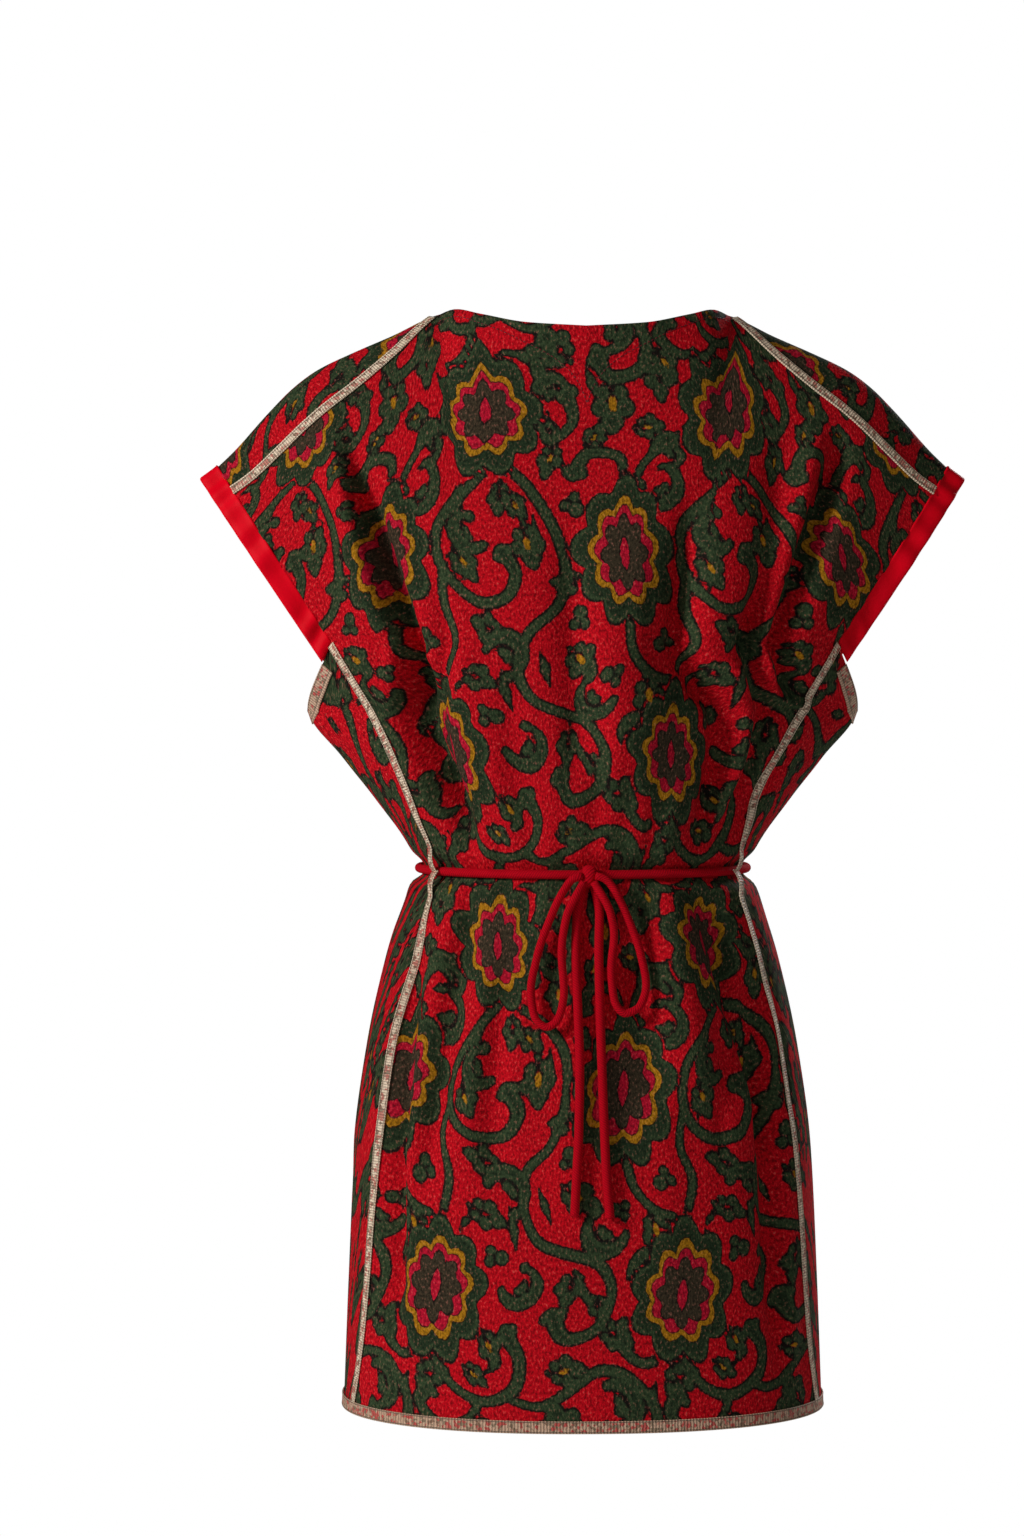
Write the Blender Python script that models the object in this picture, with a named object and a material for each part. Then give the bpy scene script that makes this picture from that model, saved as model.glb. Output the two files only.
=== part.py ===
"""Short shift dress: two printed panels, satin cuffs, woven braids and a tie cord at the waist.

Metres, +Z up, the front faces -Y. The origin is mid-way between the two shoulder neck points, where the
dress is held. Every piece of cloth lies on one surface, surface_point, and each wall goes inwards from it.
A place on it has a sheet (FRONT or BACK), an across value from -1 to 1, side to side, and a level.
"""

import math

import bmesh
import bpy
import numpy as np

FRONT, BACK = -1.0, 1.0

# Levels down the dress and their heights: the shoulder line is level 0
UNDERARM, RIBBON_TIP, WAIST, HEM = 1.0, 2.0, 3.0, 4.0
UNDERARM_HEIGHT = -0.2535
RIBBON_TIP_HEIGHT = -0.3044
WAIST_HEIGHT = -0.426
HEM_HEIGHT = -0.840
LEVEL_HEIGHTS = [
    (UNDERARM, UNDERARM_HEIGHT),
    (RIBBON_TIP, RIBBON_TIP_HEIGHT),
    (WAIST, WAIST_HEIGHT),
    (HEM, HEM_HEIGHT),
]

# Top line: distance from the centre, height, then how far the neck edge stands forward and back
TOP_COLUMNS = ("across", "height", "front", "back")
TOP_LINE = [
    (0.000, -0.014, 0.060, 0.068),
    (0.045, -0.011, 0.054, 0.061),
    (0.080, -0.0035, 0.037, 0.041),
    (0.099, 0.0010, 0.020, 0.022),
    (0.1143, -0.003, 0.0, 0.0),
    (0.146, -0.018, 0.0, 0.0),
    (0.176, -0.031, 0.0, 0.0),
    (0.203, -0.044, 0.0, 0.0),
    (0.221, -0.057, 0.0, 0.0),
    (0.241, -0.077, 0.0, 0.0),
    (0.267, -0.106, 0.0, 0.0),
    (0.2805, -0.119, 0.0, 0.0),
]

# Sections below the underarm: half width at the edge and inside it, depths, and roundness of the side
SECTION_COLUMNS = ("height", "edge_width", "width", "front", "back", "roundness")
SECTIONS = [
    (-0.2535, 0.1930, 0.2050, 0.114, 0.094, 1.90),
    (-0.3044, 0.2107, 0.1990, 0.114, 0.093, 1.80),
    (-0.3415, 0.1845, 0.1845, 0.109, 0.091, 1.85),
    (-0.3730, 0.1598, 0.1598, 0.103, 0.089, 1.92),
    (-0.4120, 0.1330, 0.1330, 0.097, 0.087, 2.00),
    (-0.4260, 0.1285, 0.1285, 0.095, 0.085, 2.02),
    (-0.4380, 0.1330, 0.1330, 0.097, 0.089, 2.05),
    (-0.4630, 0.1410, 0.1410, 0.102, 0.097, 2.10),
    (-0.4946, 0.1505, 0.1505, 0.108, 0.105, 2.15),
    (-0.5615, 0.1652, 0.1652, 0.115, 0.115, 2.22),
    (-0.6400, 0.1757, 0.1757, 0.120, 0.122, 2.26),
    (-0.7420, 0.1808, 0.1808, 0.125, 0.127, 2.26),
    (-0.8400, 0.1846, 0.1846, 0.130, 0.132, 2.24),
]

# Chest, from the shoulder line to the underarm: depth of the middle, and how flat it stays towards the sides
CHEST_COLUMNS = ("level", "front", "back", "flatness")
CHEST = [
    (0.00, 0.062, 0.072, 2.7),
    (0.42, 0.079, 0.086, 2.6),
    (0.75, 0.101, 0.093, 2.4),
    (1.00, 0.114, 0.094, 2.0),
]

# Half depth of the opening between the two sheets, along the cuff and the ribbon below it
OPENING_COLUMNS = ("level", "half_depth")
OPENING = [(0.0, 0.030), (0.5, 0.038), (1.0, 0.036), (1.5, 0.022), (2.0, 0.0)]

SHOULDER_END = 0.2805
NECK_POINT = 0.1143
SHOULDER_ROUNDING = 0.25
SHOULDER_FULLNESS = 3.0
# Share of a quarter turn that a sheet spans where its edge is open
OPEN_TURN = 0.8
# Level below which the flat flap under the arm begins to round into the waist
FLAP_ROUNDS_FROM = 1.5
# How soon the side corners of the edge fade inwards
EDGE_SHARPNESS = 6

# Side seam under the braid: height and distance from the centre line
SEAM_COLUMNS = ("height", "across")
SIDE_SEAM = [
    (-0.2535, 0.1930),
    (-0.2980, 0.1670),
    (-0.3400, 0.1465),
    (-0.3810, 0.1275),
    (-0.4125, 0.1140),
    (-0.4260, 0.1115),
    (-0.4445, 0.1150),
    (-0.4645, 0.1225),
    (-0.4900, 0.1310),
    (-0.5620, 0.1485),
    (-0.6660, 0.1610),
    (-0.7770, 0.1690),
    (-0.8400, 0.1775),
]
FIRST_GUESS, SEARCH_STEPS = 0.8, 12
# Shoulder seam: its level on the front sheet at the neck point and at the cuff
SHOULDER_SEAM = (0.030, 0.228)
# How far the seam dips below an even run between the two
SHOULDER_SEAM_DIP = 0.118
SHOULDER_DIP_SKEW = 0.8

# Folds. A turn counts quarter turns from the centre back: 1 and -1 are the sides, 2 the centre front
FOLD_COLUMNS = ("turn_top", "level_top", "turn_end", "level_end", "half_width", "height")
FOLDS = [
    (-1.43, 0.30, -1.50, 2.75, 0.022, -0.0110),
    (-1.54, 1.20, -1.59, 2.92, 0.018, -0.0105),
    (-1.95, 0.45, -1.97, 2.55, 0.024, -0.0080),
    (1.80, 0.45, 1.60, 2.94, 0.021, -0.0125),
    (1.52, 0.25, 1.42, 1.30, 0.020, -0.0110),
    (-1.40, 0.25, -1.33, 1.05, 0.018, 0.0085),
    (1.94, 0.80, 1.90, 2.60, 0.026, 0.0080),
    (1.67, 1.70, 1.52, 2.85, 0.017, 0.0085),
    (1.42, 0.60, 1.40, 2.60, 0.015, 0.0060),
    (-1.66, 1.00, -1.70, 2.85, 0.022, 0.0070),
    (1.73, 3.00, 1.70, 3.45, 0.017, 0.0080),
    (1.50, 3.00, 1.58, 3.42, 0.013, -0.0080),
    (1.43, 3.10, 1.44, 3.85, 0.018, -0.0070),
    (-1.40, 3.10, -1.39, 3.90, 0.017, -0.0070),
    (-1.58, 3.00, -1.55, 3.55, 0.015, -0.0060),
    (-1.88, 3.00, -1.86, 3.70, 0.022, -0.0050),
    (0.42, 0.35, 0.55, 2.90, 0.022, -0.0105),
    (-0.38, 0.40, -0.50, 2.92, 0.023, -0.0110),
    (0.05, 0.50, 0.02, 2.80, 0.026, -0.0080),
    (0.70, 0.50, 0.78, 2.70, 0.018, 0.0070),
    (-0.66, 0.40, -0.74, 2.75, 0.019, 0.0080),
    (-0.16, 0.90, -0.22, 2.90, 0.020, 0.0070),
    (0.24, 1.00, 0.28, 2.90, 0.019, 0.0065),
    (0.36, 3.00, 0.34, 3.60, 0.018, -0.0070),
    (-0.30, 3.00, -0.33, 3.75, 0.019, -0.0080),
    (0.72, 3.05, 0.70, 3.80, 0.018, -0.0065),
    (-0.76, 3.05, -0.72, 3.60, 0.017, -0.0060),
]
# Shares of a fold's length in which it swells and dies away, and the level where folds reach full height
FOLD_START_SHARE, FOLD_END_SHARE = 0.35, 0.25
FOLDS_BELOW = 0.3
# A quarter of the way round, as a multiple of the half width
GIRTH_FACTOR = 1.25
CHEST_HALF_WIDTH = 0.205

# Gathers that the cord pulls in: turn, height of the ridge, and how far it reaches up and down
GATHER_COLUMNS = ("turn", "height", "reach_up", "reach_down")
GATHERS = [
    (-1.38, 0.0034, 0.075, 0.060),
    (-1.49, 0.0042, 0.105, 0.080),
    (-1.62, 0.0046, 0.090, 0.055),
    (-1.74, 0.0038, 0.120, 0.085),
    (-1.86, 0.0040, 0.080, 0.060),
    (-1.96, 0.0032, 0.095, 0.050),
    (1.93, 0.0036, 0.100, 0.055),
    (1.83, 0.0042, 0.085, 0.075),
    (1.72, 0.0050, 0.115, 0.095),
    (1.55, 0.0046, 0.080, 0.060),
    (1.46, 0.0042, 0.100, 0.085),
    (1.37, 0.0034, 0.075, 0.055),
    (-0.85, 0.0036, 0.080, 0.060),
    (-0.68, 0.0044, 0.110, 0.075),
    (-0.55, 0.0040, 0.085, 0.060),
    (-0.42, 0.0048, 0.120, 0.090),
    (-0.28, 0.0038, 0.075, 0.055),
    (-0.13, 0.0044, 0.100, 0.080),
    (0.00, 0.0036, 0.085, 0.060),
    (0.14, 0.0046, 0.115, 0.085),
    (0.29, 0.0040, 0.080, 0.055),
    (0.43, 0.0048, 0.105, 0.080),
    (0.57, 0.0038, 0.085, 0.065),
    (0.70, 0.0044, 0.100, 0.070),
    (0.86, 0.0034, 0.075, 0.060),
]
GATHER_HALF_WIDTH = 0.0080
GATHER_FADE = 0.018
GATHER_UNDER_CORD = 0.25
GATHER_TAPER = 1.6
GROOVE_DEPTH = 0.0065
GROOVE_HALF_HEIGHT = 0.009

# Walls, gaps and trims
CLOTH_THICKNESS = 0.0016
CUFF_THICKNESS = 0.0020
TRIM_THICKNESS = 0.0011
SEAM_GAP = 0.0003
TRIM_LIFT = 0.0004
SIDE_BRAID_LIFT = 0.0009
BRAID_START = 0.0030
# How far from the cord the side braid lies right over it, and where it is back on the cloth
HUMP_REACH = (0.0, 0.0060, 0.0200)
BRAID_WIDTH = 0.0068
SHOULDER_BRAID_WIDTH = 0.0076
# At the cuff, the share of the first row of cloth above the seam that the shoulder braid covers
SHOULDER_BRAID_END = 0.8
SHOULDER_BRAID_LIFT = 0.0011
HEM_RIBBON_WIDTH = 0.0095
UNDERARM_RIBBON_WIDTH = 0.011
RIBBON_LIFT = 0.0011
# Ribbon below the cuff, down the front edge: level and width. It is laid on in a few steps from the edge
RIBBON_WIDTHS = [
    (1.33, 0.0080),
    (1.40, 0.0092),
    (1.48, 0.0104),
    (1.57, UNDERARM_RIBBON_WIDTH),
    (1.68, UNDERARM_RIBBON_WIDTH),
    (1.80, UNDERARM_RIBBON_WIDTH),
    (1.92, UNDERARM_RIBBON_WIDTH),
]
RIBBON_STEPS = 4
JUST_INSIDE = 1 - 1e-6
# Outer edge of the cuff: its top and its lower end
CUFF_TOP = (0.2945, -0.1295)
CUFF_END = (0.2005, -0.2690)

# Rows and columns of the panels
CHEST_ROWS = 13
CHEST_EASING = 1.2
SHOULDER_ROWS = 3
RIBBON_ROWS = 4
NECK_COLUMNS = 8
SHOULDER_COLUMNS = 9
SIDE_COLUMNS = 4
ROWS_ABOVE_WAIST = 10
ROWS_BELOW_WAIST = 17
BELOW_WAIST_EASING = 1.25
# Rows close to the cord, above and below the waist
CORD_ROWS_ABOVE = (0.0130, 0.0055)
CORD_ROWS_BELOW = (0.0055, 0.0130)

# Cord
CORD_RADIUS = 0.0034
CORD_LIFT = 0.0007
KNOT_HALF_SIZE = (0.0084, 0.0082, 0.0090)
KNOT_LIFT = 0.0012
KNOT_CLEARANCE = 0.0004
KNOT_STEP = 0.0002
# How far round the knot its cloth is looked at, as the square of a share of the knot's size
BEHIND_KNOT = 1.4
KNOT_HEIGHT = WAIST_HEIGHT - 0.001
LOOP_RADIUS = 0.0030
TAIL_RADIUS = 0.0034
# Routes of the bow: across and height on the front, then how far the cord's middle lies off the cloth
LOOP_LEFT = [
    (-0.0030, -0.4262, 0.0100),
    (-0.0085, -0.4282, 0.0115),
    (-0.0150, -0.4350, 0.0115),
    (-0.0262, -0.4560, 0.0090),
    (-0.0380, -0.4880, 0.0060),
    (-0.0427, -0.5130, 0.0048),
    (-0.0400, -0.5310, 0.0046),
    (-0.0312, -0.5385, 0.0046),
    (-0.0222, -0.5310, 0.0048),
    (-0.0185, -0.5110, 0.0060),
    (-0.0200, -0.4850, 0.0085),
    (-0.0165, -0.4600, 0.0112),
    (-0.0088, -0.4425, 0.0118),
    (-0.0035, -0.4330, 0.0110),
]
LOOP_RIGHT = [
    (0.0030, -0.4262, 0.0100),
    (0.0088, -0.4282, 0.0115),
    (0.0158, -0.4355, 0.0115),
    (0.0285, -0.4610, 0.0090),
    (0.0380, -0.4870, 0.0060),
    (0.0418, -0.5080, 0.0048),
    (0.0365, -0.5240, 0.0046),
    (0.0262, -0.5285, 0.0046),
    (0.0182, -0.5180, 0.0048),
    (0.0160, -0.4950, 0.0060),
    (0.0180, -0.4720, 0.0085),
    (0.0150, -0.4560, 0.0112),
    (0.0088, -0.4425, 0.0118),
    (0.0035, -0.4330, 0.0110),
]
TAIL_LEFT = [
    (-0.0030, -0.4310, 0.0046),
    (-0.0055, -0.4410, 0.0046),
    (-0.0085, -0.4560, 0.0046),
    (-0.0098, -0.4850, 0.0046),
    (-0.0085, -0.5250, 0.0046),
    (-0.0072, -0.5650, 0.0046),
    (-0.0080, -0.6150, 0.0046),
    (-0.0098, -0.6500, 0.0046),
    (-0.0112, -0.6780, 0.0046),
]
TAIL_RIGHT = [
    (0.0030, -0.4310, 0.0046),
    (0.0055, -0.4410, 0.0046),
    (0.0078, -0.4560, 0.0046),
    (0.0072, -0.4850, 0.0046),
    (0.0078, -0.5250, 0.0046),
    (0.0090, -0.5650, 0.0046),
    (0.0108, -0.6150, 0.0046),
    (0.0124, -0.6500, 0.0046),
    (0.0150, -0.6800, 0.0046),
]
LOOP_POINTS = 34
TAIL_POINTS = 18

PRINT_RED = (0.42, 0.01, 0.02)
SATIN_RED = (0.66, 0.0, 0.01)
CORD_RED = (0.45, 0.005, 0.015)
BRAID_BEIGE = (0.52, 0.38, 0.27)
RIBBON_GREY = (0.30, 0.23, 0.15)


def column(table, names, name):
    """One named column of a table, as an array."""
    return np.array([row[names.index(name)] for row in table], float)


def smooth_curve(known, values):
    """A function that runs smoothly through the values without overshooting them."""
    order = np.argsort(known)
    known, values = np.asarray(known, float)[order], np.asarray(values, float)[order]
    steps = np.diff(known)
    slopes = np.diff(values) / steps
    tangents = np.empty_like(values)
    tangents[0], tangents[-1] = slopes[0], slopes[-1]
    before, after = slopes[:-1], slopes[1:]
    same = before * after > 0
    mean = 2 * before * after / np.where(same, before + after, 1)
    tangents[1:-1] = np.where(same, mean, 0)

    def curve(where):
        where = np.clip(where, known[0], known[-1])
        at = np.clip(np.searchsorted(known, where, side="right") - 1, 0, len(steps) - 1)
        share = (where - known[at]) / steps[at]
        rise = values[at + 1] - values[at]
        cubic = share * share * (3 - 2 * share)
        first = share * (1 - share) ** 2 * tangents[at] * steps[at]
        last = -share * share * (1 - share) * tangents[at + 1] * steps[at]
        return values[at] + rise * cubic + first + last

    return curve


def table_curves(table, names):
    """A smooth curve for each column of a table, over its first column."""
    known = column(table, names, names[0])
    return {name: smooth_curve(known, column(table, names, name)) for name in names[1:]}


TOP = table_curves(TOP_LINE, TOP_COLUMNS)
SECTION = table_curves(SECTIONS, SECTION_COLUMNS)
UPPER = table_curves(CHEST, CHEST_COLUMNS)
GAPING = table_curves(OPENING, OPENING_COLUMNS)
SEAM = table_curves(SIDE_SEAM, SEAM_COLUMNS)


def level_height(level):
    known = [row[0] for row in LEVEL_HEIGHTS]
    return np.interp(level, known, [row[1] for row in LEVEL_HEIGHTS])


def quarter_turn(level):
    """The angle that across values from 0 to 1 span at a level."""
    return math.pi / 2 * (OPEN_TURN + (1 - OPEN_TURN) * np.clip(level - UNDERARM, 0, 1))


def reach_of(share, level, roundness):
    span = quarter_turn(level)
    return (np.sin(share * span) / np.sin(span)) ** (2 / roundness)


def share_of(reach, level, roundness):
    span = quarter_turn(level)
    return np.arcsin(np.clip(reach, 0, 1) ** (roundness / 2) * np.sin(span)) / span


NECK_SHARE = float(share_of(NECK_POINT / SHOULDER_END, 0.0, 2.0))


def plain_point(sheet, across, level):
    """The surface before its folds. Past a side, or over a shoulder, the place is on the other sheet."""
    sheet, across, level = np.broadcast_arrays(sheet, np.asarray(across, float), np.asarray(level, float))
    past = np.abs(across) > 1
    sheet = np.where(past ^ (level < 0), -sheet, sheet)
    side = np.where(across < 0, -1.0, 1.0)
    share = np.where(past, 2 - np.abs(across), np.abs(across))
    level = np.abs(level)
    height = level_height(level)
    upper = np.clip(level, 0, 1)
    fall = (1 + SHOULDER_ROUNDING) * upper ** 2 / (upper + SHOULDER_ROUNDING)
    roundness = SECTION["roundness"](height)
    roundness = np.where(level < 1, 2 + (roundness - 2) * fall, roundness)
    reach = np.clip(reach_of(share, level, roundness), 0, 1)
    in_front = sheet < 0

    # Half width: the edge has corners of its own, which the cloth inside it doesn't follow
    edge_width = SECTION["edge_width"](height)
    width = SECTION["width"](height)
    edge_width = np.where(level < 1, SHOULDER_END + (edge_width - SHOULDER_END) * fall, edge_width)
    width = np.where(level < 1, SHOULDER_END + (width - SHOULDER_END) * fall, width)
    half_width = width + (edge_width - width) * reach ** EDGE_SHARPNESS
    x = side * half_width * reach

    # Depth: open lens at the cuffs and ribbons, closed round section below them
    top_at = SHOULDER_END * reach_of(share, 0.0, 2.0)
    neck = np.where(in_front, TOP["front"](top_at), TOP["back"](top_at))
    middle = np.where(
        level < 1,
        np.where(in_front, UPPER["front"](upper), UPPER["back"](upper)),
        np.where(in_front, SECTION["front"](height), SECTION["back"](height)),
    )
    gap = GAPING["half_depth"](level)
    open_side = 1 - reach ** UPPER["flatness"](upper)
    round_side = (1 - reach ** roundness) ** (1 / roundness)
    closing = fade((level - FLAP_ROUNDS_FROM) / (WAIST - FLAP_ROUNDS_FROM))
    profile = open_side + (round_side - open_side) * closing
    depth = gap + (middle - gap) * profile
    filled = 1 - (1 - upper) ** SHOULDER_FULLNESS
    depth = neck * (1 - filled) + depth * filled

    top_height = TOP["height"](top_at)
    z = np.where(level < 1, top_height + (height - top_height) * fall, height)
    return np.stack([x, sheet * depth, z], axis=-1)


def surface_frame(point_at, sheet, across, level, step=0.004):
    """The two tangents and the outward normal of a surface. Open edges are measured from one side."""
    sheet, across, level = np.broadcast_arrays(sheet, np.asarray(across, float), np.asarray(level, float))
    limit = np.where(level < RIBBON_TIP - 1e-6, 1.0, 2.0)
    before = np.clip(across - step, -limit, limit)
    after = np.clip(across + step, -limit, limit)
    along = (point_at(sheet, after, level) - point_at(sheet, before, level)) / (after - before)[..., None]
    lowest = np.where((np.abs(across) < NECK_SHARE) & (level >= 0), 0.0, -1.0)
    above = np.clip(level - step, lowest, HEM)
    below = np.clip(level + step, lowest, HEM)
    down = (point_at(sheet, across, below) - point_at(sheet, across, above)) / (below - above)[..., None]
    normal = np.cross(along, down) * sheet[..., None]
    normal /= np.linalg.norm(normal, axis=-1, keepdims=True)
    return along, down, normal


def fade(value):
    """0 at 0 and below, 1 at 1 and above, smooth between."""
    value = np.clip(value, 0, 1)
    return value * value * (3 - 2 * value)


def fold_height(sheet, across, level):
    """How far the folds, the gathers and the groove under the cord move the cloth outwards."""
    past = np.abs(across) > 1
    sheet = np.where(past ^ (level < 0), -sheet, sheet)
    side = np.where(across < 0, -1.0, 1.0)
    share = np.where(past, 2 - np.abs(across), np.abs(across))
    level = np.abs(level)
    turn = side * np.where(sheet < 0, 2 - share, share)
    z = np.where(level < 1, UNDERARM_HEIGHT * level, level_height(level))
    chest_width = SHOULDER_END + (CHEST_HALF_WIDTH - SHOULDER_END) * level
    quarter_girth = GIRTH_FACTOR * np.where(level < 1, chest_width, SECTION["width"](z))

    total = np.zeros(np.broadcast(turn, level).shape)
    for turn_top, level_top, turn_end, level_end, half_width, height in FOLDS:
        along = (level - level_top) / (level_end - level_top)
        middle = turn_top + (turn_end - turn_top) * fade(along)
        aside = ((turn - middle + 2) % 4 - 2) * quarter_girth
        window = fade(along / FOLD_START_SHARE) * fade((1 - along) / FOLD_END_SHARE)
        total += height * window * np.exp(-((aside / half_width) ** 2))
    drop = WAIST_HEIGHT - z
    for turn_at, height, reach_up, reach_down in GATHERS:
        aside = ((turn - turn_at + 2) % 4 - 2) * quarter_girth
        reach = np.where(drop < 0, reach_up, reach_down)
        away = np.abs(drop)
        under_cord = GATHER_UNDER_CORD + (1 - GATHER_UNDER_CORD) * fade(away / GATHER_FADE)
        window = under_cord * np.exp(-((away / reach) ** 2) * GATHER_TAPER)
        total += height * window * np.exp(-((aside / GATHER_HALF_WIDTH) ** 2))
    total -= GROOVE_DEPTH * np.exp(-((drop / GROOVE_HALF_HEIGHT) ** 2))
    return total * fade(level / FOLDS_BELOW)


def surface_point(sheet, across, level):
    normal = surface_frame(plain_point, sheet, across, level)[2]
    return plain_point(sheet, across, level) + normal * fold_height(sheet, across, level)[..., None]


def seam_share(level):
    """Across value of the side seam on the front sheet."""
    height = level_height(level)
    wanted = SEAM["across"](height)
    edge_width, width = SECTION["edge_width"](height), SECTION["width"](height)
    reach = np.full(np.shape(level), FIRST_GUESS)
    for _ in range(SEARCH_STEPS):
        reach = np.clip(wanted / (width + (edge_width - width) * reach ** EDGE_SHARPNESS), 0, 1)
    share = share_of(reach, level, SECTION["roundness"](height))
    return np.where(level <= UNDERARM, 1.0, share)


def shoulder_seam_level(across):
    along = (np.abs(across) - NECK_SHARE) / (1 - NECK_SHARE)
    start, end = SHOULDER_SEAM
    inside = np.clip(along, 0, 1)
    dip = SHOULDER_SEAM_DIP * np.sin(math.pi * inside ** SHOULDER_DIP_SKEW)
    return np.where(along < -1e-9, 0.0, start + (end - start) * inside + dip)


def column_shares():
    """Across values of a sheet's columns, side to side, with one on each neck point."""
    inner = np.linspace(-NECK_SHARE, NECK_SHARE, NECK_COLUMNS + 1)
    outer = np.linspace(NECK_SHARE, 1, SHOULDER_COLUMNS + 1)[1:]
    return np.concatenate([-outer[::-1], inner, outer])


def lower_levels(first):
    """Levels of the rows from the underarm or the ribbon tip down to the hem."""
    above = (WAIST_HEIGHT - LEVEL_HEIGHTS[1][1]) * -1
    below = WAIST_HEIGHT - HEM_HEIGHT
    near_above = [WAIST - offset / above for offset in CORD_ROWS_ABOVE]
    near_below = [WAIST + offset / below for offset in CORD_ROWS_BELOW]
    upper = np.linspace(first, near_above[0], ROWS_ABOVE_WAIST + 1)
    falling = np.linspace(0, 1, ROWS_BELOW_WAIST + 1) ** BELOW_WAIST_EASING
    lower = near_below[1] + (HEM - near_below[1]) * falling
    return np.concatenate([upper, [near_above[1], WAIST, near_below[0]], lower])


def row_of_waist(levels):
    return int(np.argmin(np.abs(levels - WAIST)))


def material(name, colour, roughness):
    made = bpy.data.materials.new(name)
    made.use_nodes = True
    shader = made.node_tree.nodes["Principled BSDF"]
    shader.inputs["Base Color"].default_value = (*colour, 1)
    shader.inputs["Roughness"].default_value = roughness
    return made


def new_object(name, mesh_data, finish):
    mesh = bpy.data.meshes.new(name)
    mesh_data.to_mesh(mesh)
    mesh_data.free()
    made = bpy.data.objects.new(name, mesh)
    made.data.materials.append(finish)
    bpy.context.scene.collection.objects.link(made)
    return made


def wall(name, outer, inner, finish, present=None, ring=False):
    """A closed wall between two grids of points. present says which cells of the grid exist."""
    rows, columns = outer.shape[:2]
    cells_across = columns if ring else columns - 1
    if present is None:
        present = np.ones((rows - 1, cells_across), bool)
    shape = bmesh.new()
    made = {}

    def vertex(layer, row, col):
        key = (layer, row, col % columns)
        if key not in made:
            grid = outer if layer == 0 else inner
            made[key] = shape.verts.new(grid[row, col % columns])
        return made[key]

    for row, col in zip(*np.nonzero(present)):
        corners = [(row, col), (row + 1, col), (row + 1, col + 1), (row, col + 1)]
        shape.faces.new([vertex(0, *corner) for corner in corners])
        shape.faces.new([vertex(1, *corner) for corner in reversed(corners)])
        outside = [
            col == 0 and not ring or not present[row, col - 1],
            row == rows - 2 or not present[row + 1, col],
            col == cells_across - 1 and not ring or not present[row, (col + 1) % cells_across],
            row == 0 or not present[row - 1, col],
        ]
        for side, is_rim in enumerate(outside):
            if is_rim:
                first, last = corners[side], corners[(side + 1) % 4]
                rim = [vertex(0, *last), vertex(0, *first), vertex(1, *first), vertex(1, *last)]
                shape.faces.new(rim)
    bmesh.ops.recalc_face_normals(shape, faces=shape.faces)
    return new_object(name, shape, finish)


def unit(vectors):
    return vectors / np.maximum(np.linalg.norm(vectors, axis=-1, keepdims=True), 1e-12)


def strip(name, middle, towards_one, towards_other, normal, widths, lift, finish):
    """A flat trim over panel points: its edges lie on the lines from middle to the points beside it."""
    first = middle + unit(towards_one - middle) * np.reshape(widths[0], (-1, 1))
    last = middle + unit(towards_other - middle) * np.reshape(widths[1], (-1, 1))
    lift = np.reshape(lift, (-1, 1, 1))
    rows = np.stack([first, middle, last], axis=1)
    under = rows + normal[:, None] * lift
    return wall(name, under + normal[:, None] * TRIM_THICKNESS, under, finish)


def clear_scene():
    for old in list(bpy.data.objects):
        bpy.data.objects.remove(old, do_unlink=True)


def front_places():
    """Across values and levels of the front panel's points, row by row."""
    shares = column_shares()
    top = shoulder_seam_level(shares)
    eased = np.linspace(0, 1, CHEST_ROWS + 1)[:, None] ** CHEST_EASING
    chest_levels = top + (UNDERARM - top) * eased
    chest_across = np.broadcast_to(shares, chest_levels.shape)
    low = lower_levels(UNDERARM)[1:]
    low_across = shares * seam_share(low)[:, None]
    low_levels = np.broadcast_to(low[:, None], low_across.shape)
    return np.vstack([chest_across, low_across]), np.vstack([chest_levels, low_levels])


def back_places():
    """Sheet, across and level of the back panel's points: it goes over the shoulders and round the sides."""
    shares = column_shares()
    eased = np.linspace(0, 1, CHEST_ROWS + 1) ** CHEST_EASING
    ribbon = np.linspace(UNDERARM, RIBBON_TIP, RIBBON_ROWS + 1)[1:]
    low = lower_levels(RIBBON_TIP)
    seam_levels = lower_levels(UNDERARM)
    over = np.linspace(1, 0, SHOULDER_ROWS + 1)[:-1, None] * -shoulder_seam_level(shares)
    rest = np.concatenate([eased, ribbon, low[1:]])
    levels = np.vstack([over, np.broadcast_to(rest[:, None], (len(rest), len(shares)))])
    across = np.broadcast_to(shares, levels.shape)

    tip_row = SHOULDER_ROWS + CHEST_ROWS + RIBBON_ROWS
    round_side = np.linspace(0, 1, SIDE_COLUMNS + 1)[1:]
    seam = seam_share(seam_levels)[:, None]
    side_across = 1 + (1 - seam) * round_side
    side_levels = low[:, None] + (seam_levels - low)[:, None] * round_side
    padding = np.full((tip_row, SIDE_COLUMNS), np.nan)
    side_across = np.vstack([padding, side_across])
    side_levels = np.vstack([padding, side_levels])
    across = np.hstack([-side_across[:, ::-1], across, side_across])
    levels = np.hstack([side_levels[:, ::-1], levels, side_levels])

    present = np.ones((across.shape[0] - 1, across.shape[1] - 1), bool)
    present[:tip_row, :SIDE_COLUMNS] = False
    present[:tip_row, -SIDE_COLUMNS:] = False
    neck_first = SIDE_COLUMNS + SHOULDER_COLUMNS
    present[:SHOULDER_ROWS, neck_first:neck_first + NECK_COLUMNS] = False
    return across, levels, present, tip_row


def cloth(sheet, across, level):
    """Outer points, inner points and normals of a panel."""
    outer = surface_point(sheet, across, level)
    normal = surface_frame(surface_point, sheet, across, level)[2]
    return outer, outer - normal * CLOTH_THICKNESS, normal


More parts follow.
